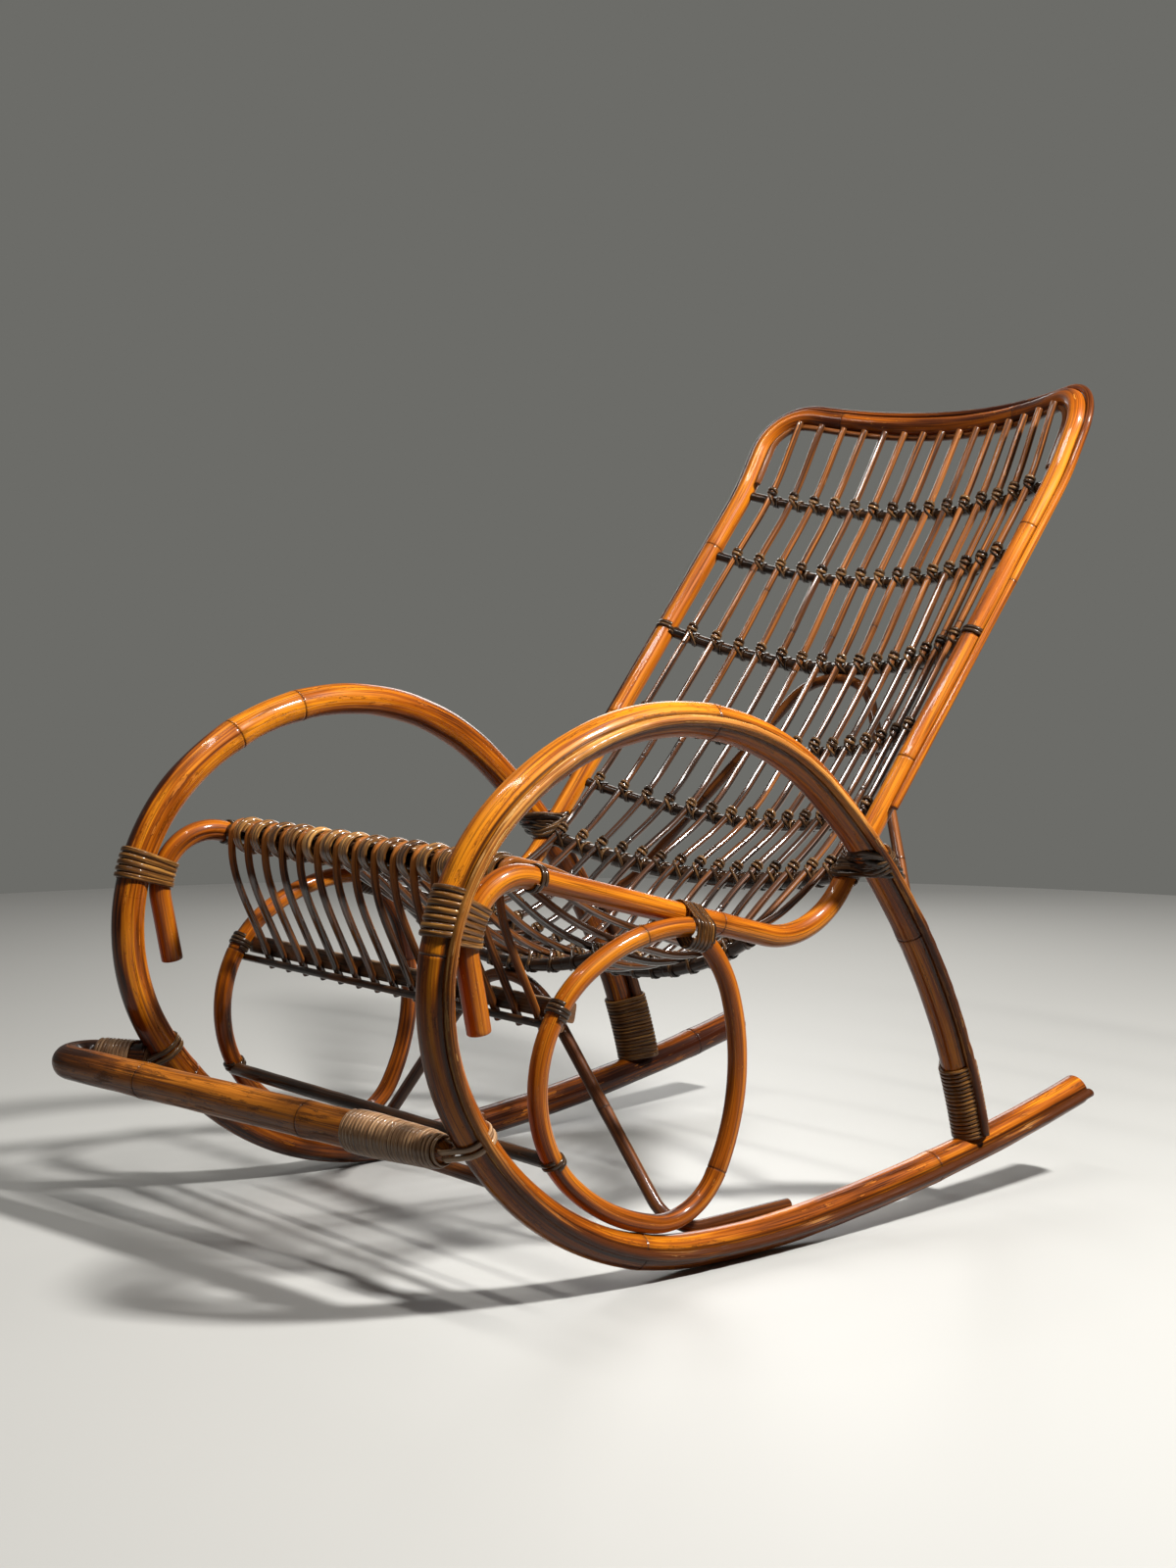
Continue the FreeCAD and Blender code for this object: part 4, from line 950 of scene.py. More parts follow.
@dataclass(frozen=True)
class Strand:
    """A flat strand of cane with a crowned section.

    Attributes:
        width: its width.
        thick: its thickness.
        columns: points round it.
    """

    width: float
    thick: float
    columns: int = 10

    BOXED = (0.75, 0.85)   # the powers that draw the oval towards a box, to the side and outwards

    def lay(self, skin: Skin, places: Array, outward: Array, tone: float, ring: bool = False) -> None:
        """Sweeps the strand along a path.

        The section is a flattened oval: half the width times cos a to the side, half the thickness
        times sin a outwards, each drawn towards a rounded box.

        Args:
            skin: takes the surface.
            places: the stations of its middle.
            outward: the direction away from what it is wound on.
            tone: its shade.
            ring: whether it closes on itself.
        """
        ahead = np.roll(places, -1, 0) - np.roll(places, 1, 0)
        if not ring:
            ahead[0], ahead[-1] = places[1] - places[0], places[-1] - places[-2]
        ahead = unit(ahead)
        outward = unit(outward - ahead * (outward * ahead).sum(1, keepdims=True))
        side = np.cross(outward, ahead)
        _, spoke = full_turn(self.columns)
        across, height = (np.sign(spoke) * abs(spoke) ** self.BOXED * (self.width / 2, self.thick / 2)).T
        grid = places[:, None] + across[:, None] * side[:, None] + height[:, None] * outward[:, None]
        spans = np.linalg.norm(np.diff(places, axis=0), axis=1)
        along = np.concatenate([[0.0], np.cumsum(spans)])
        skin.sweep(grid, along, tone=np.full(len(places), tone), phase=5 * tone, ring=ring)


@dataclass(frozen=True)
class Bundled:
    """A pole inside a bundle.

    Attributes:
        line: its centre line.
        radius: its radius.
        first, last: where the stretch that lies there begins and ends, in metres along it.
    """

    line: Line
    radius: float
    first: float = 0.0
    last: float = 10.0


class Bundle:
    """Poles that lie side by side, seen in sections square to one of them."""

    def __init__(self, core: Bundled, others: Sequence[Bundled], side: Array) -> None:
        """Holds the poles.

        Args:
            core: the pole that the sections are square to.
            others: the poles beside it.
            side: the direction of the first angle.
        """
        self.core = core
        self.others = others
        self.side = np.asarray(side, float)

    def section(self, distances: Array) -> tuple[Array, Array, Array, Array, Array]:
        """Cuts the bundle in sections square to the core.

        Args:
            distances: how far along the core.

        Returns:
            Their middles, two cross directions, and each pole's place (by section, pole and axis)
            with the radii.
        """
        origin, heading = self.core.line.at(distances)
        first = unit(self.side - heading * (heading @ self.side)[:, None])
        second = np.cross(heading, first)
        centres = [np.zeros((len(distances), 2))]
        radii = [self.core.radius]
        for other in self.others:
            stops = np.linspace(other.first, min(other.last, other.line.length), 400)
            points = other.line.at(stops)[0]
            ahead = np.einsum("nkd,nd->nk", points[None] - origin[:, None], heading)
            pick = points[np.argmin(abs(ahead), axis=1)]
            apart = pick - origin
            centres.append(np.stack([(apart * first).sum(1), (apart * second).sum(1)], 1))
            radii.append(other.radius)
        return origin, first, second, np.stack(centres, 1), np.array(radii)

    def wound(self, middle: float, turns: float, pitch: float, lift: Union[float, Callable[[Array], Array]],
              start: float = 0.0, lean: float = 0.0) -> tuple[Array, Array]:
        """Returns the path of a cane wound round the bundle.

        At each angle the cane lies on the pole that reaches furthest that way, at its radius and the
        lift; the angle grows with the distance along the core.

        Args:
            middle: where on the core the winding's middle lies.
            turns: how many turns.
            pitch: the distance between turns.
            lift: the cane's middle above the poles, or a function of the distance from the middle.
            start: the first angle.
            lean: how far the turns lean along the core, as a sine round the bundle.

        Returns:
            The stations and their outward directions.
        """
        angles = np.linspace(0.0, TAU * turns, max(24, int(turns * 60)))
        ahead = (angles / (TAU * turns) - 0.5) * turns * pitch + lean * np.sin(angles + start)
        origin, first, second, centres, radii = self.section(middle + ahead)
        turn = angles + start
        spoke = np.stack([np.cos(turn), np.sin(turn)], 1)
        reach = np.einsum("npd,nd->np", centres, spoke) + radii
        pick = np.argmax(reach, axis=1)
        rows = np.arange(len(turn))
        rise = lift(ahead) if callable(lift) else lift
        flat = centres[rows, pick] + spoke * np.reshape(radii[pick] + rise, (-1, 1))
        places = origin + first * flat[:, :1] + second * flat[:, 1:]
        outward = first * spoke[:, :1] + second * spoke[:, 1:]
        return self._evenly(places, outward)

    @staticmethod
    def _evenly(places: Array, outward: Array) -> tuple[Array, Array]:
        """Spaces a path's stations evenly.

        Args:
            places: the stations.
            outward: their outward directions.

        Returns:
            Both at as many even distances.
        """
        along = np.concatenate([[0.0], np.cumsum(np.linalg.norm(np.diff(places, axis=0), axis=1))])
        stops = np.linspace(0.0, along[-1], len(places))
        spread = [np.stack([np.interp(stops, along, part[:, axis]) for axis in range(3)], 1)
                  for part in (places, outward)]
        return spread[0], spread[1]


# Sub-assemblies

X_AXIS = np.array([1.0, 0.0, 0.0])
Z_AXIS = np.array([0.0, 0.0, 1.0])
FORWARDS = (0.0, -1.0, 0.0)
TO_LEFT = (1.0, 0.0, 0.0)
UPWARDS = (0.0, 0.0, 1.0)


def box_middle(node: str) -> Array:
    """Returns the middle of a node's box."""
    low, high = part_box(node)
    return (np.array(low) + np.array(high)) / 2


@dataclass
class Hoops:
    """The two hoop poles and the edging strips on their outer sides.

    A hoop's line begins at the rear leg's foot, and runs over the arm and down the front to the rocker's end.
    """

    radius: float = 18 * MM
    step: float = 5 * MM
    left_knots: tuple[float, ...] = (0.258, 0.652, 1.082, 1.518, 1.950)
    right_knots: tuple[float, ...] = (0.345, 0.767, 0.857, 1.31, 1.74, 2.12)
    left_shades: Pairs = ((0.0, 0.42), (0.45, 0.48), (0.9, 0.62), (1.25, 0.52), (1.55, 0.44), (1.8, 0.42),
                          (2.2, 0.44))
    right_shades: Pairs = ((0.0, 0.3), (0.45, 0.4), (0.8, 0.58), (1.1, 0.5), (1.4, 0.36), (1.6, 0.2),
                           (2.2, 0.12))
    # painted shade: each hoop is darker along its front, on the side away from the rear lamp
    left_painted_shade: Pairs = ((0.98, 0.0), (1.08, 0.34), (1.35, 0.34), (1.5, 0.0))
    right_painted_shade: Pairs = ((0.8, 0.0), (0.9, 0.42), (1.3, 0.42), (1.5, 0.0))
    strip_width: float = 10 * MM
    strip_height: float = 9 * MM
    strip_shoulder: float = 3.3 * MM
    strip_base: float = 0.3 * MM
    strip_waver: float = 0.05
    strip_shades: Pairs = ((0.0, -0.1), (0.25, 0.1), (0.45, 0.6), (0.9, 0.6), (1.2, 0.35), (1.5, -0.2))
    strip_mottle: float = 0.3

    def pole(self, side: Side) -> Pole:
        """Describes one hoop's pole.

        Args:
            side: the hoop's side.

        Returns:
            The pole.
        """
        near = side is Side.LEFT
        knots = self.left_knots if near else self.right_knots
        shades = self.left_shades if near else self.right_shades
        stain_and_painted_shade = self.left_painted_shade if near else self.right_painted_shade
        return Pole(side.word + "_hoop", self.radius, FORWARDS, POLE, knots, columns=72, seed=3 + side.value,
                    step=self.step, shades=shades, strip=(float(side.value), 0.0, 0.0), stain_and_painted_shade=stain_and_painted_shade)

    def strip_section(self) -> tuple[Array, Array, Array]:
        """The strip's section: flat sides and a domed face.

        Returns:
            Each point's place across and above the pole, and its share of edge wear, below 0 at its foot for
            painted crease shade.
        """
        half = self.strip_width / 2
        rise = self.strip_height - self.strip_shoulder
        dome = np.linspace(0.0, math.pi, 9)
        foot = [self.strip_base, self.strip_base * 3]
        across = np.concatenate([[half * 0.9, half], half * np.cos(dome), [-half, -half * 0.9]])
        above = np.concatenate([foot, self.strip_shoulder + rise * np.sin(dome), foot[::-1]])
        edge = np.clip(1 - abs(above - self.strip_shoulder) / (0.6 * rise), 0, 1)
        # the foot points carry painted crease shade, where the strip meets the pole
        return across, above, np.where(above < 0.5 * self.strip_shoulder, -1.0, edge)

    def strip(self, side: Side) -> bpy.types.Object:
        """Sweeps the strip's section along the hoop's outer side, a little uneven in size.

        Args:
            side: the hoop's side.

        Returns:
            The strip's piece.
        """
        line = self.pole(side).line
        stations = np.arange(0.0, line.length, self.step)
        places, headings = line.at(stations)
        outward = np.tile(X_AXIS * side.value, (len(stations), 1))
        sideways = np.cross(headings, outward)
        across, above, edge = self.strip_section()
        waver = 1 + self.strip_waver * ripple(stations, 21 + side.value, 0.12)[:, None]
        grid = (places[:, None] + (across * waver)[..., None] * sideways[:, None]
                + (self.radius + above * waver)[..., None] * outward[:, None])
        if side is Side.RIGHT:
            grid, edge = grid[:, ::-1], edge[::-1]
        skin = Skin()
        mottle = self.strip_mottle * ripple(stations, 31 + side.value, 0.7)
        skin.sweep(grid, stations, tone=between(self.strip_shades, stations) + mottle, edge=edge)
        name = side.word + "_hoop_edging"
        return skin.piece(name + "_strip", EDGING, [name])

    def build(self) -> None:
        """Makes both hoops."""
        for side in Side:
            self.pole(side).build()
            self.strip(side)


@dataclass
class SeatBack:
    """The seat and back frame and the two rods along its back."""

    frame_pole: Pole = Pole(
        "seat_back_frame", 12 * MM, TO_LEFT, FRAME_POLE,
        (0.115, 0.461, 0.83, 1.155, 1.47, 1.76, 2.05, 2.32, 2.66, 2.95), columns=32, seed=11, step=5 * MM,
        shades=((0.0, 0.6), (0.2, 0.56), (1.28, 0.62), (1.42, 0.16), (1.78, 0.16), (1.9, 0.68), (2.4, 0.6),
                (2.6, 0.45)))
    outer_rod: Pole = Pole(
        "back_edging_rod", 4.5 * MM, TO_LEFT, FRAME_POLE, (0.31, 0.72, 1.1, 1.42), columns=16, seed=12,
        shades=((0.0, 0.5), (0.42, 0.5), (0.58, 0.1), (1.5, 0.1)))
    inner_rod: Pole = Pole("back_inner_rod", 4 * MM, TO_LEFT, RED_POLE, (0.22, 0.45), columns=16, seed=13)

    def build(self) -> None:
        """Makes the frame and its rods."""
        for pole in (self.frame_pole, self.outer_rod, self.inner_rod):
            pole.build()


@dataclass
class Crossbars:
    """The dark bars that the slats are tied to."""

    knots: tuple[float, ...] = (0.17, 0.39)
    radii: tuple[tuple[str, float], ...] = (
        ("back_crossbar_1", 6 * MM), ("back_crossbar_2", 6 * MM), ("back_crossbar_3", 7.5 * MM),
        ("back_crossbar_4", 6 * MM), ("back_crossbar_5", 6 * MM), ("back_crossbar_6", 9 * MM),
        ("seat_crossbar_rear", 7 * MM), ("seat_crossbar_front", 7 * MM))

    def poles(self) -> list[Pole]:
        """Each bar as a pole."""
        return [Pole(node, radius, TO_LEFT, BAR, self.knots, columns=16, seed=40 + number)
                for number, (node, radius) in enumerate(self.radii)]

    def build(self) -> None:
        """Makes the bars."""
        for pole in self.poles():
            pole.build()


@dataclass(frozen=True)
class SlatPole(Pole):
    """A slat: it lies closer on the roll than its solid, and hangs from it in a bow."""

    DRAWN = 5 * MM         # towards the roll's axis
    FADE = 22 * MM         # how soon that ends beside the roll
    BOW = 7 * MM           # forwards, a third of the way down

    @property
    def solid(self) -> Line:
        """The solid's centre line."""
        return CentreLines.of(self.node, self.radius, self.begins)

    @cached_property
    def line(self) -> Line:
        """The solid's centre line, drawn in and bowed.

        A point at distance d beyond the nearest moves to the roll's axis by DRAWN exp(-(d / FADE)^2). Below
        the roll, a share t of the way down, it moves forwards by BOW 6.75 t (1 - t)^2.

        Returns:
            The line.
        """
        stations = np.linspace(0.0, self.solid.length, 400)
        places, _ = self.solid.at(stations)
        spoke = (places - box_middle("front_roll")) * np.array([0.0, 1.0, 1.0])
        reach = np.linalg.norm(spoke, axis=1, keepdims=True)
        places = places - self.DRAWN * np.exp(-(((reach - reach.min()) / self.FADE) ** 2)) * spoke / reach
        foremost = stations[np.argmin(places[:, 1])]
        share = np.clip((stations - foremost) / (self.solid.length - foremost), 0, 1)
        places[:, 1] -= self.BOW * 6.75 * share * (1 - share) ** 2
        return Line(places)


@dataclass
class Slats:
    """The slats, and the cane tie where each crosses a bar."""

    crossbars: Crossbars
    count: int = 15
    radius: float = 4.25 * MM
    # painted shade at each slat's top beside the rail and where it hangs below the roll, and painted light on
    # the roll's top; darker from the lower back to the seat
    shades: Pairs = ((0.0, 0.46), (0.04, 0.52), (0.3, 0.51), (0.42, 0.28), (0.75, 0.22), (1.0, 0.22),
                     (-0.2, 0.55), (-0.165, 0.9), (-0.14, 0.7), (-0.11, 0.4), (-0.001, 0.32))
    spread: float = 0.04                             # how far the shades of slats differ
    drift: float = 0.008                             # how much lighter each slat is than the one before
    loop_strand: Strand = Strand(3.8 * MM, 1.9 * MM, 6)
    loop_slant: tuple[float, float] = (38, 50)
    ring_strand: Strand = Strand(5.4 * MM, 1.9 * MM, 6)
    ring_beside: float = 2.4 * MM
    knuckle_strand: Strand = Strand(4.6 * MM, 3.0 * MM, 6)
    knuckle_pitch: float = 3.2 * MM

    def pole(self, number: int) -> SlatPole:
        """Describes one slat as a pole, with node rings at seeded places and a shade of its own.

        Args:
            number: the slat's number, from 1 up to the count.

        Returns:
            The pole.
        """
        draw = np.random.default_rng(100 + number)
        knots = tuple(np.round(np.cumsum(draw.uniform(0.2, 0.36, 3)), 3))
        change = draw.uniform(-self.spread, self.spread) + self.drift * (number - (self.count + 1) / 2)
        shades = tuple((place, tone + change) for place, tone in self.shades)
        return SlatPole("slat_%02d" % number, self.radius, UPWARDS, SLAT, knots, columns=14, seed=60 + number,
                        shades=shades)

    def ties(self, bar: Pole) -> bpy.types.Object:
        """Makes the ties of one bar.

        Each tie is a loop drawn aslant round slat and bar, a ring round the bar beside the slat and two
        rings round the slat above the bar.

        Args:
            bar: the bar.

        Returns:
            The ties' piece.
        """
        skin = Skin()
        draw = np.random.default_rng(700 + len(bar.node) + int(1000 * bar.radius) + ord(bar.node[-1]))
        bar_places, bar_headings = bar.line.at(np.linspace(0.0, bar.length, 500))
        for number in range(1, self.count + 1):
            slat = self.pole(number).line
            stops = np.linspace(0.0, slat.length, 900)
            slat_places, _ = slat.at(stops)
            apart = np.linalg.norm(slat_places[:, None] - bar_places[None], axis=2)
            on_slat, on_bar = np.unravel_index(np.argmin(apart), apart.shape)
            middle, along_bar = bar_places[on_bar], bar_headings[on_bar]
            out = unit(slat_places[on_slat] - middle)
            axes = np.stack([along_bar, unit(np.cross(out, along_bar)), out])
            self._aslant(skin, middle, axes, bar.radius, float(apart[on_slat, on_bar]), draw)
            beside = middle - along_bar * (self.radius + self.ring_beside) * draw.uniform(0.95, 1.25)
            self._bar_ring(skin, beside, axes, bar.radius, draw)
            for layer in range(2):
                at = stops[on_slat] - 0.85 * bar.radius - self.knuckle_pitch * layer
                self._knuckle(skin, slat, at, layer, draw)
        return skin.piece(bar.node + "_ties", DARK_CANE)

    def _aslant(self, skin: Skin, middle: Array, axes: Array, bar_radius: float, height: float,
                draw: np.random.Generator) -> None:
        """Adds the loop round slat and bar in a slanted plane.

        The plane cuts each rod in an oval; the loop is the hull of both ovals: at each angle the oval
        that reaches further that way gives the place.

        Args:
            skin: takes the loop.
            middle: the bar's middle at the crossing.
            axes: the directions along the bar, up along the slat, and out from bar to slat.
            bar_radius: the bar's radius.
            height: how far the slat's middle lies out from the bar's.
            draw: gives the slant and the shade.
        """
        slant = math.radians(draw.uniform(*self.loop_slant))
        lift = 0.4 * self.loop_strand.thick
        turn, spoke = full_turn(24)
        ovals = np.array([[(bar_radius + lift) / math.sin(slant), bar_radius + lift],
                          [(self.radius + lift) / math.cos(slant), self.radius + lift]])
        centres = np.array([[0.0, 0.0], [0.0, height]])
        support = np.linalg.norm(spoke[:, None] * ovals[None], axis=2)
        pick = np.argmax(support + spoke @ centres.T, axis=1)
        flat = centres[pick] + (spoke * ovals[pick] ** 2) / support[np.arange(len(turn)), pick][:, None]
        diagonal = -math.cos(slant) * axes[0] + math.sin(slant) * axes[1]
        places = middle + flat[:, :1] * diagonal + flat[:, 1:] * axes[2]
        outward = spoke[:, :1] * diagonal + spoke[:, 1:] * axes[2]
        self.loop_strand.lay(skin, places, outward, draw.uniform(0.3, 0.75), ring=True)

    def _bar_ring(self, skin: Skin, beside: Array, axes: Array, bar_radius: float,
                  draw: np.random.Generator) -> None:
        """Adds the ring of cane round a bar beside a slat: a circle that leans a little along the bar.

        Args:
            skin: takes the ring.
            beside: the ring's middle.
            axes: the directions along the bar, up along the slat, and out from bar to slat.
            bar_radius: the bar's radius.
            draw: gives the lean and the shade.
        """
        turn, spoke = full_turn(16)
        outward = spoke[:, :1] * axes[2] + spoke[:, 1:] * axes[1]
        lean = draw.uniform(-1.2, 1.2) * MM * np.sin(turn)[:, None] * axes[0]
        places = beside + outward * (bar_radius + 0.5 * self.ring_strand.thick) + lean
        self.ring_strand.lay(skin, places, outward, draw.uniform(0.2, 0.6), ring=True)

    def _knuckle(self, skin: Skin, slat: Line, at: float, layer: int, draw: np.random.Generator) -> None:
        """Adds one of the two rings of cane round a slat, just above a bar, that lean opposite ways.

        Args:
            skin: takes the ring.
            slat: the slat's line.
            at: how far along the slat the ring lies.
            layer: which of the two rings, 0 or 1.
            draw: gives the lean, the lift and the shade.
        """
        turn, spoke = full_turn(12)
        lean = (1 - 2 * layer) * draw.uniform(0.8, 2.6) * MM
        origin, heading = slat.at(np.full(len(turn), at))
        first, second = carried(heading, X_AXIS)
        outward = spoke[:, :1] * first + spoke[:, 1:] * second
        lift = self.radius + draw.uniform(0.9, 1.5) * MM
        places = origin + lift * outward + lean * np.sin(turn + 0.6)[:, None] * heading
        self.knuckle_strand.lay(skin, places, outward, draw.uniform(0.3, 0.8), ring=True)

    def build(self) -> None:
        """Makes the slats and every bar's ties."""
        for number in range(1, self.count + 1):
            self.pole(number).build()
        for bar in self.crossbars.poles():
            self.ties(bar)


@dataclass
class FrontRoll:
    """The roll at the seat's front and the cane wound on it between the slats."""

    slats: Slats
    radius: float = 10 * MM
    inset: float = 4 * MM
    sections: int = 60
    turns: int = 4
    short: float = 0.35                              # how much of a turn the last one lacks
    strand: Strand = Strand(7.4 * MM, 4.6 * MM, 12)
    lift: float = 1.8 * MM
    crown: tuple[float, float] = (6.4 * MM, 7.4 * MM)
    play: float = 1.6 * MM
    lean: float = -3 * MM
    slat_above: float = 24 * MM                      # where a slat's middle is looked for, from the axis

    def line(self) -> Line:
        """The roll's axis, from the left."""
        low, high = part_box("front_roll")
        _, y, z = box_middle("front_roll")
        return Line(np.array([[high[0] - self.inset, y, z], [low[0] + self.inset, y, z]]))

    def roll(self) -> None:
        """Makes the bare roll, a round bar."""
        line = self.line()
        stations = np.linspace(0.0, line.length, self.sections)
        places, headings = line.at(stations)
        first, second = carried(headings, Z_AXIS)
        skin = Skin()
        skin.sweep(round_grid(places, first, second, np.full(self.sections, self.radius), 28), stations)
        skin.piece("front_roll_pole", BAR, ["front_roll"])

    def beads(self) -> None:
        """Winds a bead of turns in each gap between slats, highest in its middle."""
        line = self.line()
        skin = Skin()
        bundle = Bundle(Bundled(line, self.radius), [], Z_AXIS)
        ends = [self._front_x(number) for number in range(1, self.slats.count + 1)]
        half = (abs(ends[1] - ends[0]) - 2 * self.slats.radius) / 2
        pitch = (2 * half - self.play - self.strand.width) / (self.turns - 1)
        draw = np.random.default_rng(5)
        for one, other in zip(ends, ends[1:]):
            lift = partial(self._lift, half, draw.uniform(*self.crown))
            at = line.points[0][0] - (one + other) / 2
            start = draw.uniform(0, TAU)
            path, outward = bundle.wound(at, self.turns - self.short, pitch, lift, start, self.lean)
            self.strand.lay(skin, path, outward, draw.uniform(0.35, 0.75))
        skin.piece("front_roll_beads", BEAD, ["front_roll_wrapping"])

    def _lift(self, half: float, high: float, ahead: Array) -> Array:
        """The cane's height above the roll: a parabola over half a gap to each side."""
        return self.lift + high * np.clip(1 - (ahead / half) ** 2, 0, 1)

    def _front_x(self, number: int) -> float:
        """Where a slat crosses the roll, by X."""
        slat = self.slats.pole(number).solid
        at = slat.nearest(box_middle("front_roll") + self.slat_above * Z_AXIS)
        return float(slat.at(np.array([at]))[0][0, 0])

    def build(self) -> None:
        """Makes the roll and its beads."""
        self.roll()
        self.beads()


@dataclass
class Bars:
    """The straight bars under the seat: apron bar, clamp rod and two stretchers."""

    clamp_radius: float = 4 * MM
    stretcher_radius: float = 7.5 * MM
    apron_half: tuple[float, float] = (10 * MM, 4.5 * MM)
    apron_tilt: float = -0.2

    BOXED = 0.45           # the power that draws an oval towards a rounded box

    def straight(self, node: str, finish: RattanFinish, half: tuple[float, float], tilt: float,
                 seed: int) -> None:
        """Makes a straight bar along X: a rounded box or round section swept between its node's ends.

        Args:
            node: the node that it stands for.
            finish: its finish.
            half: half its height and half its thickness.
            tilt: how far its section leans, in radians.
            seed: its irregular shape.
        """
        low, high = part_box(node)
        _, middle_y, middle_z = box_middle(node)
        stations = np.linspace(0.0, high[0] - low[0], 90)
        _, spoke = full_turn(24)
        power = 1.0 if half[0] == half[1] else self.BOXED
        thick, tall = (np.sign(spoke) * abs(spoke) ** power * half[::-1]).T
        waver = 1 + 0.02 * ripple(stations, seed, 0.3)[:, None]
        y = middle_y + waver * (thick * math.cos(tilt) - tall * math.sin(tilt))
        z = middle_z + waver * (thick * math.sin(tilt) + tall * math.cos(tilt))
        x = np.broadcast_to(low[0] + stations[:, None], y.shape)
        skin = Skin()
        skin.sweep(np.stack([x, y, z], -1), stations, tone=0.5 + 0.4 * ripple(stations, seed + 1, 0.5))
        skin.piece(node + "_bar", finish, [node])

    def build(self) -> None:
        """Makes the four bars."""
        clamp, stretcher = [(radius, radius) for radius in (self.clamp_radius, self.stretcher_radius)]
        self.straight("apron_rail", APRON, self.apron_half, self.apron_tilt, 81)
        self.straight("apron_clamp_rod", BAR, clamp, 0.0, 83)
        self.straight("ring_stretcher", BAR, stretcher, 0.0, 85)
        self.straight("rocker_stretcher", RED_POLE, stretcher, 0.0, 87)


@dataclass
class Braces:
    """The arch under the seat and the arched brace behind the back."""

    arch: Pole = Pole("under_seat_arch", 7 * MM, TO_LEFT, RED_POLE, (0.3, 0.62), columns=20, seed=75)
    brace: Pole = Pole("back_arch_brace", 6.5 * MM, TO_LEFT, RED_POLE, (0.35, 0.9), columns=20, seed=77)

    def build(self) -> None:
        """Makes the arch and the brace."""
        for pole in (self.arch, self.brace):
            pole.build()


@dataclass
class Rings:
    """The rings under the seat rails and their ties to them."""

    seat_back: SeatBack
    radius: float = 10 * MM
    left_knots: tuple[float, ...] = (0.062, 0.345, 0.6)
    right_knots: tuple[float, ...] = (0.2, 0.47, 0.75)
    left_painted_bottom_shade: float = 0.3                            # painted shade: the tone at a ring's bottom, which lies in shade
    right_painted_bottom_shade: float = 0.12
    turns: int = 5
    pitch: float = 5.4 * MM
    strand: Strand = Strand(5.2 * MM, 2.8 * MM)
    lift: float = 1.6 * MM
    tied: float = 30 * MM                            # how much of a ring's ends lies inside the tie

    def pole(self, side: Side) -> Pole:
        """Describes one ring's pole.

        Args:
            side: the ring's side.

        Returns:
            The pole.
        """
        near = side is Side.LEFT
        knots, low = (self.left_knots, self.left_painted_bottom_shade) if near else (self.right_knots, self.right_painted_bottom_shade)
        # painted shade: each ring is darker towards its bottom, where shade falls
        shades = ((0.0, 0.55), (0.25, low + 0.15), (0.5, low), (0.75, low + 0.12), (1.0, 0.5))
        return Pole(side.word + "_ring", self.radius, UPWARDS, FRAME_POLE, knots, columns=28,
                    seed=90 + side.value, step=4 * MM, shades=shades)

    def tie(self, side: Side) -> None:
        """Winds the cane round the rail and both ends of one ring.

        Args:
            side: the ring's side.
        """
        node = side.word + "_ring_binding"
        rail, ring = self.seat_back.frame_pole, self.pole(side).line
        stretches = ((0.0, self.tied), (ring.length - self.tied, ring.length))
        ends = [Bundled(ring, self.radius, first, last) for first, last in stretches]
        bundle = Bundle(Bundled(rail.line, rail.radius), ends, X_AXIS)
        skin = Skin()
        middle = rail.line.nearest(box_middle(node) + 20 * MM * Z_AXIS)
        path, outward = bundle.wound(middle, self.turns, self.pitch, self.lift)
        self.strand.lay(skin, path, outward, 0.25)
        skin.piece(node + "_cane", CANE, [node])

    def build(self) -> None:
        """Makes the rings and their ties."""
        for side in Side:
            self.pole(side).build()
            self.tie(side)


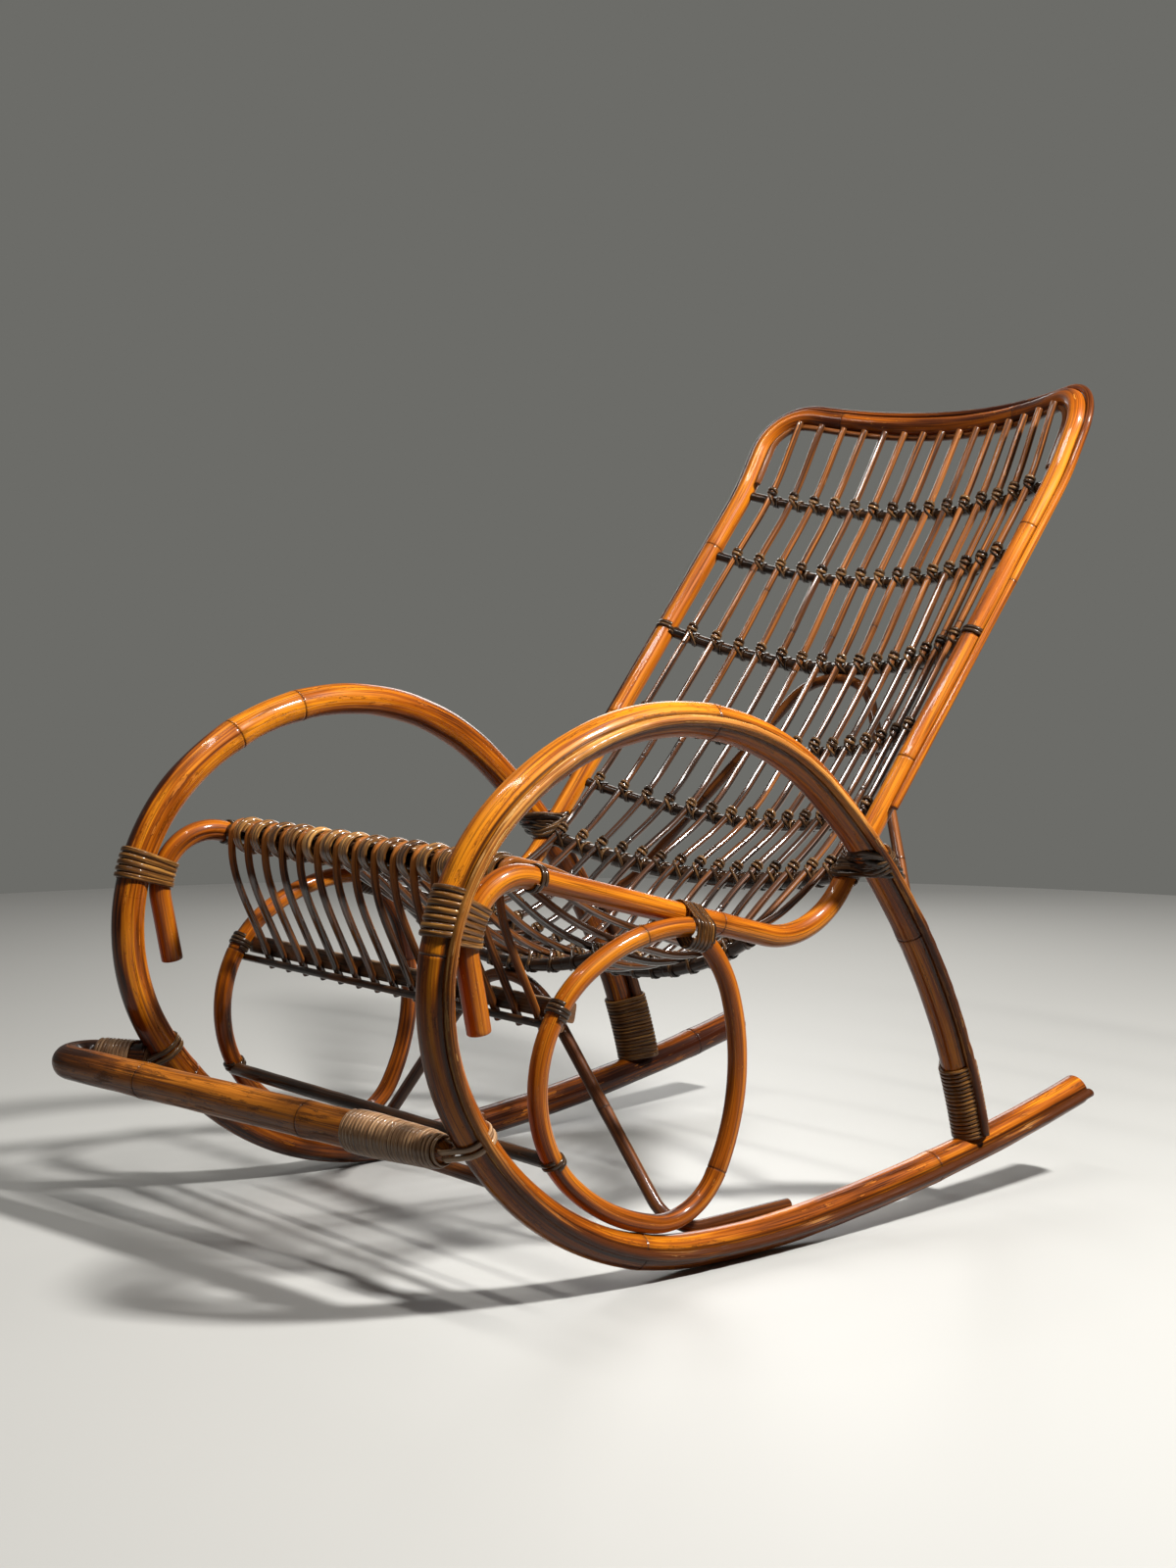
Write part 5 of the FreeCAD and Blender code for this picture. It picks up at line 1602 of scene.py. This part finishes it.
@dataclass
class Bindings:
    """The cane round the hoops: at the seat rails' front, at the back's stiles and on the rear legs.

    front_turns and front_lower hold the left side's value and then the right side's.
    """

    hoops: Hoops
    seat_back: SeatBack
    braces: Braces
    front_turns: tuple[int, int] = (7, 5)
    front_lower: tuple[float, float] = (0.0, -6 * MM)
    front_pitch: float = 6.7 * MM
    front_strand: Strand = Strand(6.3 * MM, 4.0 * MM)
    leg_turns: int = 18
    leg_lower: float = 7 * MM
    leg_pitch: float = 4.9 * MM
    leg_strand: Strand = Strand(4.5 * MM, 3.6 * MM)
    lean: float = 1.2 * MM
    lash_strand: Strand = Strand(5.6 * MM, 3.4 * MM)
    lash_pitch: float = 4.8 * MM
    lash_layers: tuple[tuple[int, float, float], ...] = (      # turns, lean, lift
        (6, 2 * MM, 0.6 * MM), (4, -6 * MM, 2.0 * MM), (3, 8 * MM, 3.2 * MM))
    lash_waver: float = 2.2 * MM
    lash_height: float = 60 * MM
    lash_reach: float = 70 * MM
    lash_slants: tuple[float, float] = (0.86, 0.8)             # cosines of the hoop's and the stile's slant

    def build(self) -> None:
        """Makes the bindings of both sides."""
        for side in Side:
            far = side is Side.RIGHT
            hoop = Bundled(self.hoops.pole(side).line, self.hoops.radius)
            rail_end = self._end(self.seat_back.frame_pole, side, 0.25)
            brace_end = self._end(self.braces.brace, side, 0.2)
            self._wind(side, "front_binding", hoop, rail_end, self.front_turns[far], self.front_pitch,
                       self.front_strand, self.front_lower[far])
            self._wind(side, "leg_binding", hoop, brace_end, self.leg_turns, self.leg_pitch, self.leg_strand,
                       self.leg_lower)
            self._lash(side)

    @staticmethod
    def _end(pole: Pole, side: Side, reach: float) -> Bundled:
        """The stretch of a pole at its end on one side, where its line begins on the left."""
        first = 0.0 if side is Side.LEFT else pole.length - reach
        return Bundled(pole.line, pole.radius, first, first + reach)

    def _wind(self, side: Side, word: str, hoop: Bundled, other: Bundled, turns: int, pitch: float,
              strand: Strand, lower: float) -> None:
        """Winds one binding round a hoop and another pole.

        Args:
            side: the hoop's side.
            word: the binding's name without its side.
            hoop: the hoop.
            other: the pole that is bound to it.
            turns: how many turns.
            pitch: the distance between turns.
            strand: the cane.
            lower: how far nearer to the hoop's beginning it lies than its node.
        """
        node = side.word + "_" + word
        bundle = Bundle(hoop, [other], X_AXIS * side.value)
        skin = Skin()
        middle = hoop.line.nearest(box_middle(node)) - lower
        path, outward = bundle.wound(middle, turns, pitch, strand.thick / 2 + 0.1 * MM, lean=self.lean)
        strand.lay(skin, path, outward, 0.45)
        skin.piece(node + "_cane", CANE, [node])

    def _lash(self, side: Side) -> None:
        """Makes the crossed lashing of hoop and stile: layers of uneven turns that lean opposite ways.

        Args:
            side: the hoop's side.
        """
        node = side.word + "_rear_lashing"
        centre = box_middle(node)
        upright = Line(np.array([centre - self.lash_height * Z_AXIS, centre + self.lash_height * Z_AXIS]))
        poles = []
        for pole, slant in zip((self.hoops.pole(side), self.seat_back.frame_pole), self.lash_slants):
            at = pole.line.nearest(centre)
            stretch = np.linspace(at - self.lash_reach, at + self.lash_reach, 30)
            poles.append(Bundled(Line(pole.line.at(stretch)[0]), pole.radius / slant))
        bundle = Bundle(Bundled(upright, 1 * MM), poles, X_AXIS)
        skin = Skin()
        for layer, (turns, lean, lift) in enumerate(self.lash_layers):
            path, outward = bundle.wound(self.lash_height, turns, self.lash_pitch, lift, 0.7 * layer, lean)
            path[:, 2] += self.lash_waver * ripple(np.linspace(0.0, turns, len(path)), 50 + layer, 1.3)
            self.lash_strand.lay(skin, path, outward, 0.15 + 0.2 * layer)
        skin.piece(node + "_cane", DARK_CANE, [node])


@dataclass
class FootRail:
    """The foot rail with its bindings and the straps round the hoops."""

    hoops: Hoops
    rail: Pole = Pole(
        "foot_rail", 19 * MM, TO_LEFT, WORN_POLE, (0.2, 0.47), columns=40, seed=71, step=5 * MM,
        shades=((0.0, 0.6), (0.35, 0.72), (0.5, 0.55), (0.6, 0.2), (0.66, 0.08)),
        taper=((0.0, 0.2), (0.003, 0.5), (0.009, 0.72), (0.025, 0.84), (0.1, 1.0)))
    strand: Strand = Strand(4.9 * MM, 3.0 * MM)
    pitch: float = 4.9 * MM
    lift: float = 1.5 * MM
    left_end: float = 3 * MM
    left_turns: int = 26
    right_turns: int = 9
    strap: Strand = Strand(6.2 * MM, 3.4 * MM)
    strap_shifts: tuple[float, ...] = (-4.5 * MM, 3.5 * MM)
    strap_lift: float = 1.6 * MM
    stub_radius: float = 5 * MM
    stub_half: float = 50 * MM

    def build(self) -> None:
        """Makes the rail, its bindings and straps."""
        self.rail.build()
        for side in Side:
            self._bind(side)
            self._straps(side)

    def _bind(self, side: Side) -> None:
        """Winds the cane round the rail at one end, close on the thinned part.

        Args:
            side: which end.
        """
        node = side.word + "_foot_rail_binding"
        line = self.rail.line
        turns, middle = self.right_turns, line.nearest(box_middle(node))
        if side is Side.LEFT:
            turns = self.left_turns
            middle = self.left_end + turns * self.pitch / 2
        bundle = Bundle(Bundled(line, self.rail.radius), [], Z_AXIS)
        skin = Skin()
        path, outward = bundle.wound(middle, turns, self.pitch, partial(self._lift, middle))
        self.strand.lay(skin, path, outward, 0.5)
        skin.piece(node + "_cane", PALE_CANE, [node])

    def _lift(self, middle: float, ahead: Array) -> Array:
        """How far a binding's middle lies above the rail's full radius, less where the rail is thinned."""
        return self.lift - self.rail.radius * (1 - between(self.rail.taper, middle + ahead))

    def _straps(self, side: Side) -> None:
        """Makes the thinned strands that leave one end of the rail and loop round the hoop.

        Args:
            side: which end.
        """
        end = self.rail.line.points[0 if side is Side.LEFT else -1]
        hoop = self.hoops.pole(side).line
        at = hoop.nearest(end)
        _, heading = hoop.at(np.array([at]))
        stub = Line(np.stack([end - heading[0] * self.stub_half, end + heading[0] * self.stub_half]))
        others = [Bundled(stub, self.stub_radius)]
        bundle = Bundle(Bundled(hoop, self.hoops.radius), others, X_AXIS * side.value)
        skin = Skin()
        for number, shift in enumerate(self.strap_shifts):
            path, outward = bundle.wound(at + shift, 1.0, 1.5 * MM, self.strap_lift + 0.3 * MM * number)
            self.strap.lay(skin, path, outward, 0.6 + 0.15 * number)
        finish = PALE_CANE if side is Side.LEFT else DARK_CANE
        skin.piece(side.word + "_foot_rail_straps", finish)


@dataclass
class Bands:
    """Short windings of dark cane: at the ends of the roll, two back bars, the apron and the stretcher."""

    seat_back: SeatBack
    rings: Rings
    roll_end: float = 0.204
    strand: Strand = Strand(4.4 * MM, 2.6 * MM, 8)
    frame_bands: tuple[tuple[str, float], ...] = (("back_crossbar_3", 2.0), ("back_crossbar_6", 2.0))
    ring_bands: tuple[tuple[str, float], ...] = (("apron_rail", 3.0), ("ring_stretcher", 2.0))

    def band(self, name: str, pole: Pole, at: float, turns: float) -> None:
        """Winds one band round a pole.

        Args:
            name: the piece's name.
            pole: the pole.
            at: how far along the pole it lies.
            turns: how many turns.
        """
        skin = Skin()
        bundle = Bundle(Bundled(pole.line, pole.radius), [], X_AXIS)
        path, outward = bundle.wound(at, turns, self.strand.width * 1.02, self.strand.thick * 0.5, 0.4)
        self.strand.lay(skin, path, outward, 0.45)
        skin.piece(name, DARK_CANE)

    def build(self) -> None:
        """Makes the bands of both sides."""
        stile = self.seat_back.frame_pole
        for side in Side:
            at = self.roll_end if side is Side.LEFT else stile.length - self.roll_end
            self.band(side.word + "_roll_end_band", stile, at, 2.0)
            for pole, bands in ((stile, self.frame_bands), (self.rings.pole(side), self.ring_bands)):
                for node, turns in bands:
                    at = pole.line.nearest(self._end(node, side))
                    self.band("%s_%s_band" % (side.word, node), pole, at, turns)

    @staticmethod
    def _end(node: str, side: Side) -> Array:
        """Returns the point of a node that lies furthest to one side."""
        places, _ = CentreLines.mesh(node)
        return places[np.argmax(places[:, 0] * side.value)]


# Studio

@dataclass(frozen=True)
class Lamp:
    """A rectangular lamp.

    Attributes:
        name: its name.
        place: where it hangs.
        size: its width and depth.
        power: its watts.
        colour: its light's colour.
    """

    name: str
    place: tuple[float, float, float]
    size: tuple[float, float]
    power: float
    colour: Colour

    def hang(self, aim: Sequence[float]) -> None:
        """Adds the lamp, turned to face a point.

        Args:
            aim: the point.
        """
        data = bpy.data.lights.new(self.name, "AREA")
        data.shape = "RECTANGLE"
        data.size, data.size_y = self.size
        data.energy = self.power
        data.color = self.colour
        lamp = bpy.data.objects.new(self.name, data)
        lamp.location = self.place
        away = unit(np.array(self.place) - np.array(aim))
        lamp.rotation_euler = (math.acos(away[2]), 0.0, math.atan2(away[0], -away[1]))
        bpy.context.scene.collection.objects.link(lamp)


@dataclass
class Studio:
    """Floor, light and the camera of the picture."""

    camera_place: tuple[float, float, float] = (2.0226, -1.6239, 0.6817)
    azimuth: float = 50.50
    fall: float = 4.66
    lens: float = 54.0
    sensor: float = 36.0
    floor_radius: float = 3.0
    floor_colour: Colour = display(189, 188, 184)
    floor_bounce: Colour = display(78, 77, 75)
    backdrop: Colour = display(108, 108, 104)
    ambient: float = 0.018
    aim: tuple[float, float, float] = (0.0, 0.1, 0.4)
    lamps: tuple[Lamp, ...] = (
        Lamp("top_softbox", (0.05, -0.66, 2.5), (2.0, 0.1), 26.0, (1.0, 0.98, 0.95)),
        Lamp("rear_lamp", (1.7, 0.75, 2.6), (0.3, 0.3), 154.0, (1.0, 0.99, 0.97)),
        Lamp("rear_fill", (-1.7, 1.7, 1.2), (0.9, 0.9), 13.0, (1.0, 0.99, 0.97)))

    def camera(self) -> None:
        """Sets the camera where the picture was taken."""
        data = bpy.data.cameras.new("camera")
        data.lens = self.lens
        data.sensor_width = self.sensor
        camera = bpy.data.objects.new("camera", data)
        camera.location = self.camera_place
        camera.rotation_euler = (math.radians(90 - self.fall), 0.0, math.radians(self.azimuth))
        bpy.context.scene.collection.objects.link(camera)
        bpy.context.scene.camera = camera

    def floor(self) -> None:
        """Makes the pale floor as a disc that throws back less light than the camera sees on it."""
        _, spoke = full_turn(96)
        rim = np.pad(self.floor_radius * spoke, ((0, 0), (0, 1)))
        mesh = bpy.data.meshes.new("floor")
        mesh.from_pydata(rim.tolist(), [], [list(range(len(rim)))])
        graph = Graph(bpy.data.materials.new("floor_paint"))
        colour = graph.mix(graph.shown(), self.floor_bounce, self.floor_colour)
        mesh.materials.append(graph.finish({"Base Color": colour, "Roughness": 0.5}, None, 0.0))
        floor = bpy.data.objects.new("floor", mesh)
        bpy.context.scene.collection.objects.link(floor)

    def world(self) -> None:
        """Sets an even grey world: one grey for light, another behind the object."""
        graph = Graph(bpy.data.worlds.new("studio"))
        light, seen = [graph.node("ShaderNodeBackground", {}, {"Color": (*colour, 1.0)})
                       for colour in ((self.ambient,) * 3, self.backdrop)]
        mixed = graph.node("ShaderNodeMixShader", {}, {0: graph.shown(), 1: light, 2: seen})
        graph.put_out(mixed, "ShaderNodeOutputWorld")
        bpy.context.scene.world = graph.owner

    def build(self) -> None:
        """Makes camera, floor, world and lamps."""
        self.camera()
        self.floor()
        self.world()
        for lamp in self.lamps:
            lamp.hang(self.aim)
        bpy.context.scene.view_settings.view_transform = "Standard"


def main() -> None:
    """Builds the looks in order."""
    logging.basicConfig(level=logging.INFO)
    Studio().build()
    hoops, seat_back, crossbars, braces = Hoops(), SeatBack(), Crossbars(), Braces()
    slats, rings = Slats(crossbars), Rings(seat_back)
    for assembly in (hoops, seat_back, crossbars, slats, FrontRoll(slats), Bars(), rings,
                     Bindings(hoops, seat_back, braces), FootRail(hoops), Bands(seat_back, rings), braces):
        assembly.build()
        LOG.info("%s done", type(assembly).__name__)


if __name__ == "__main__":
    main()
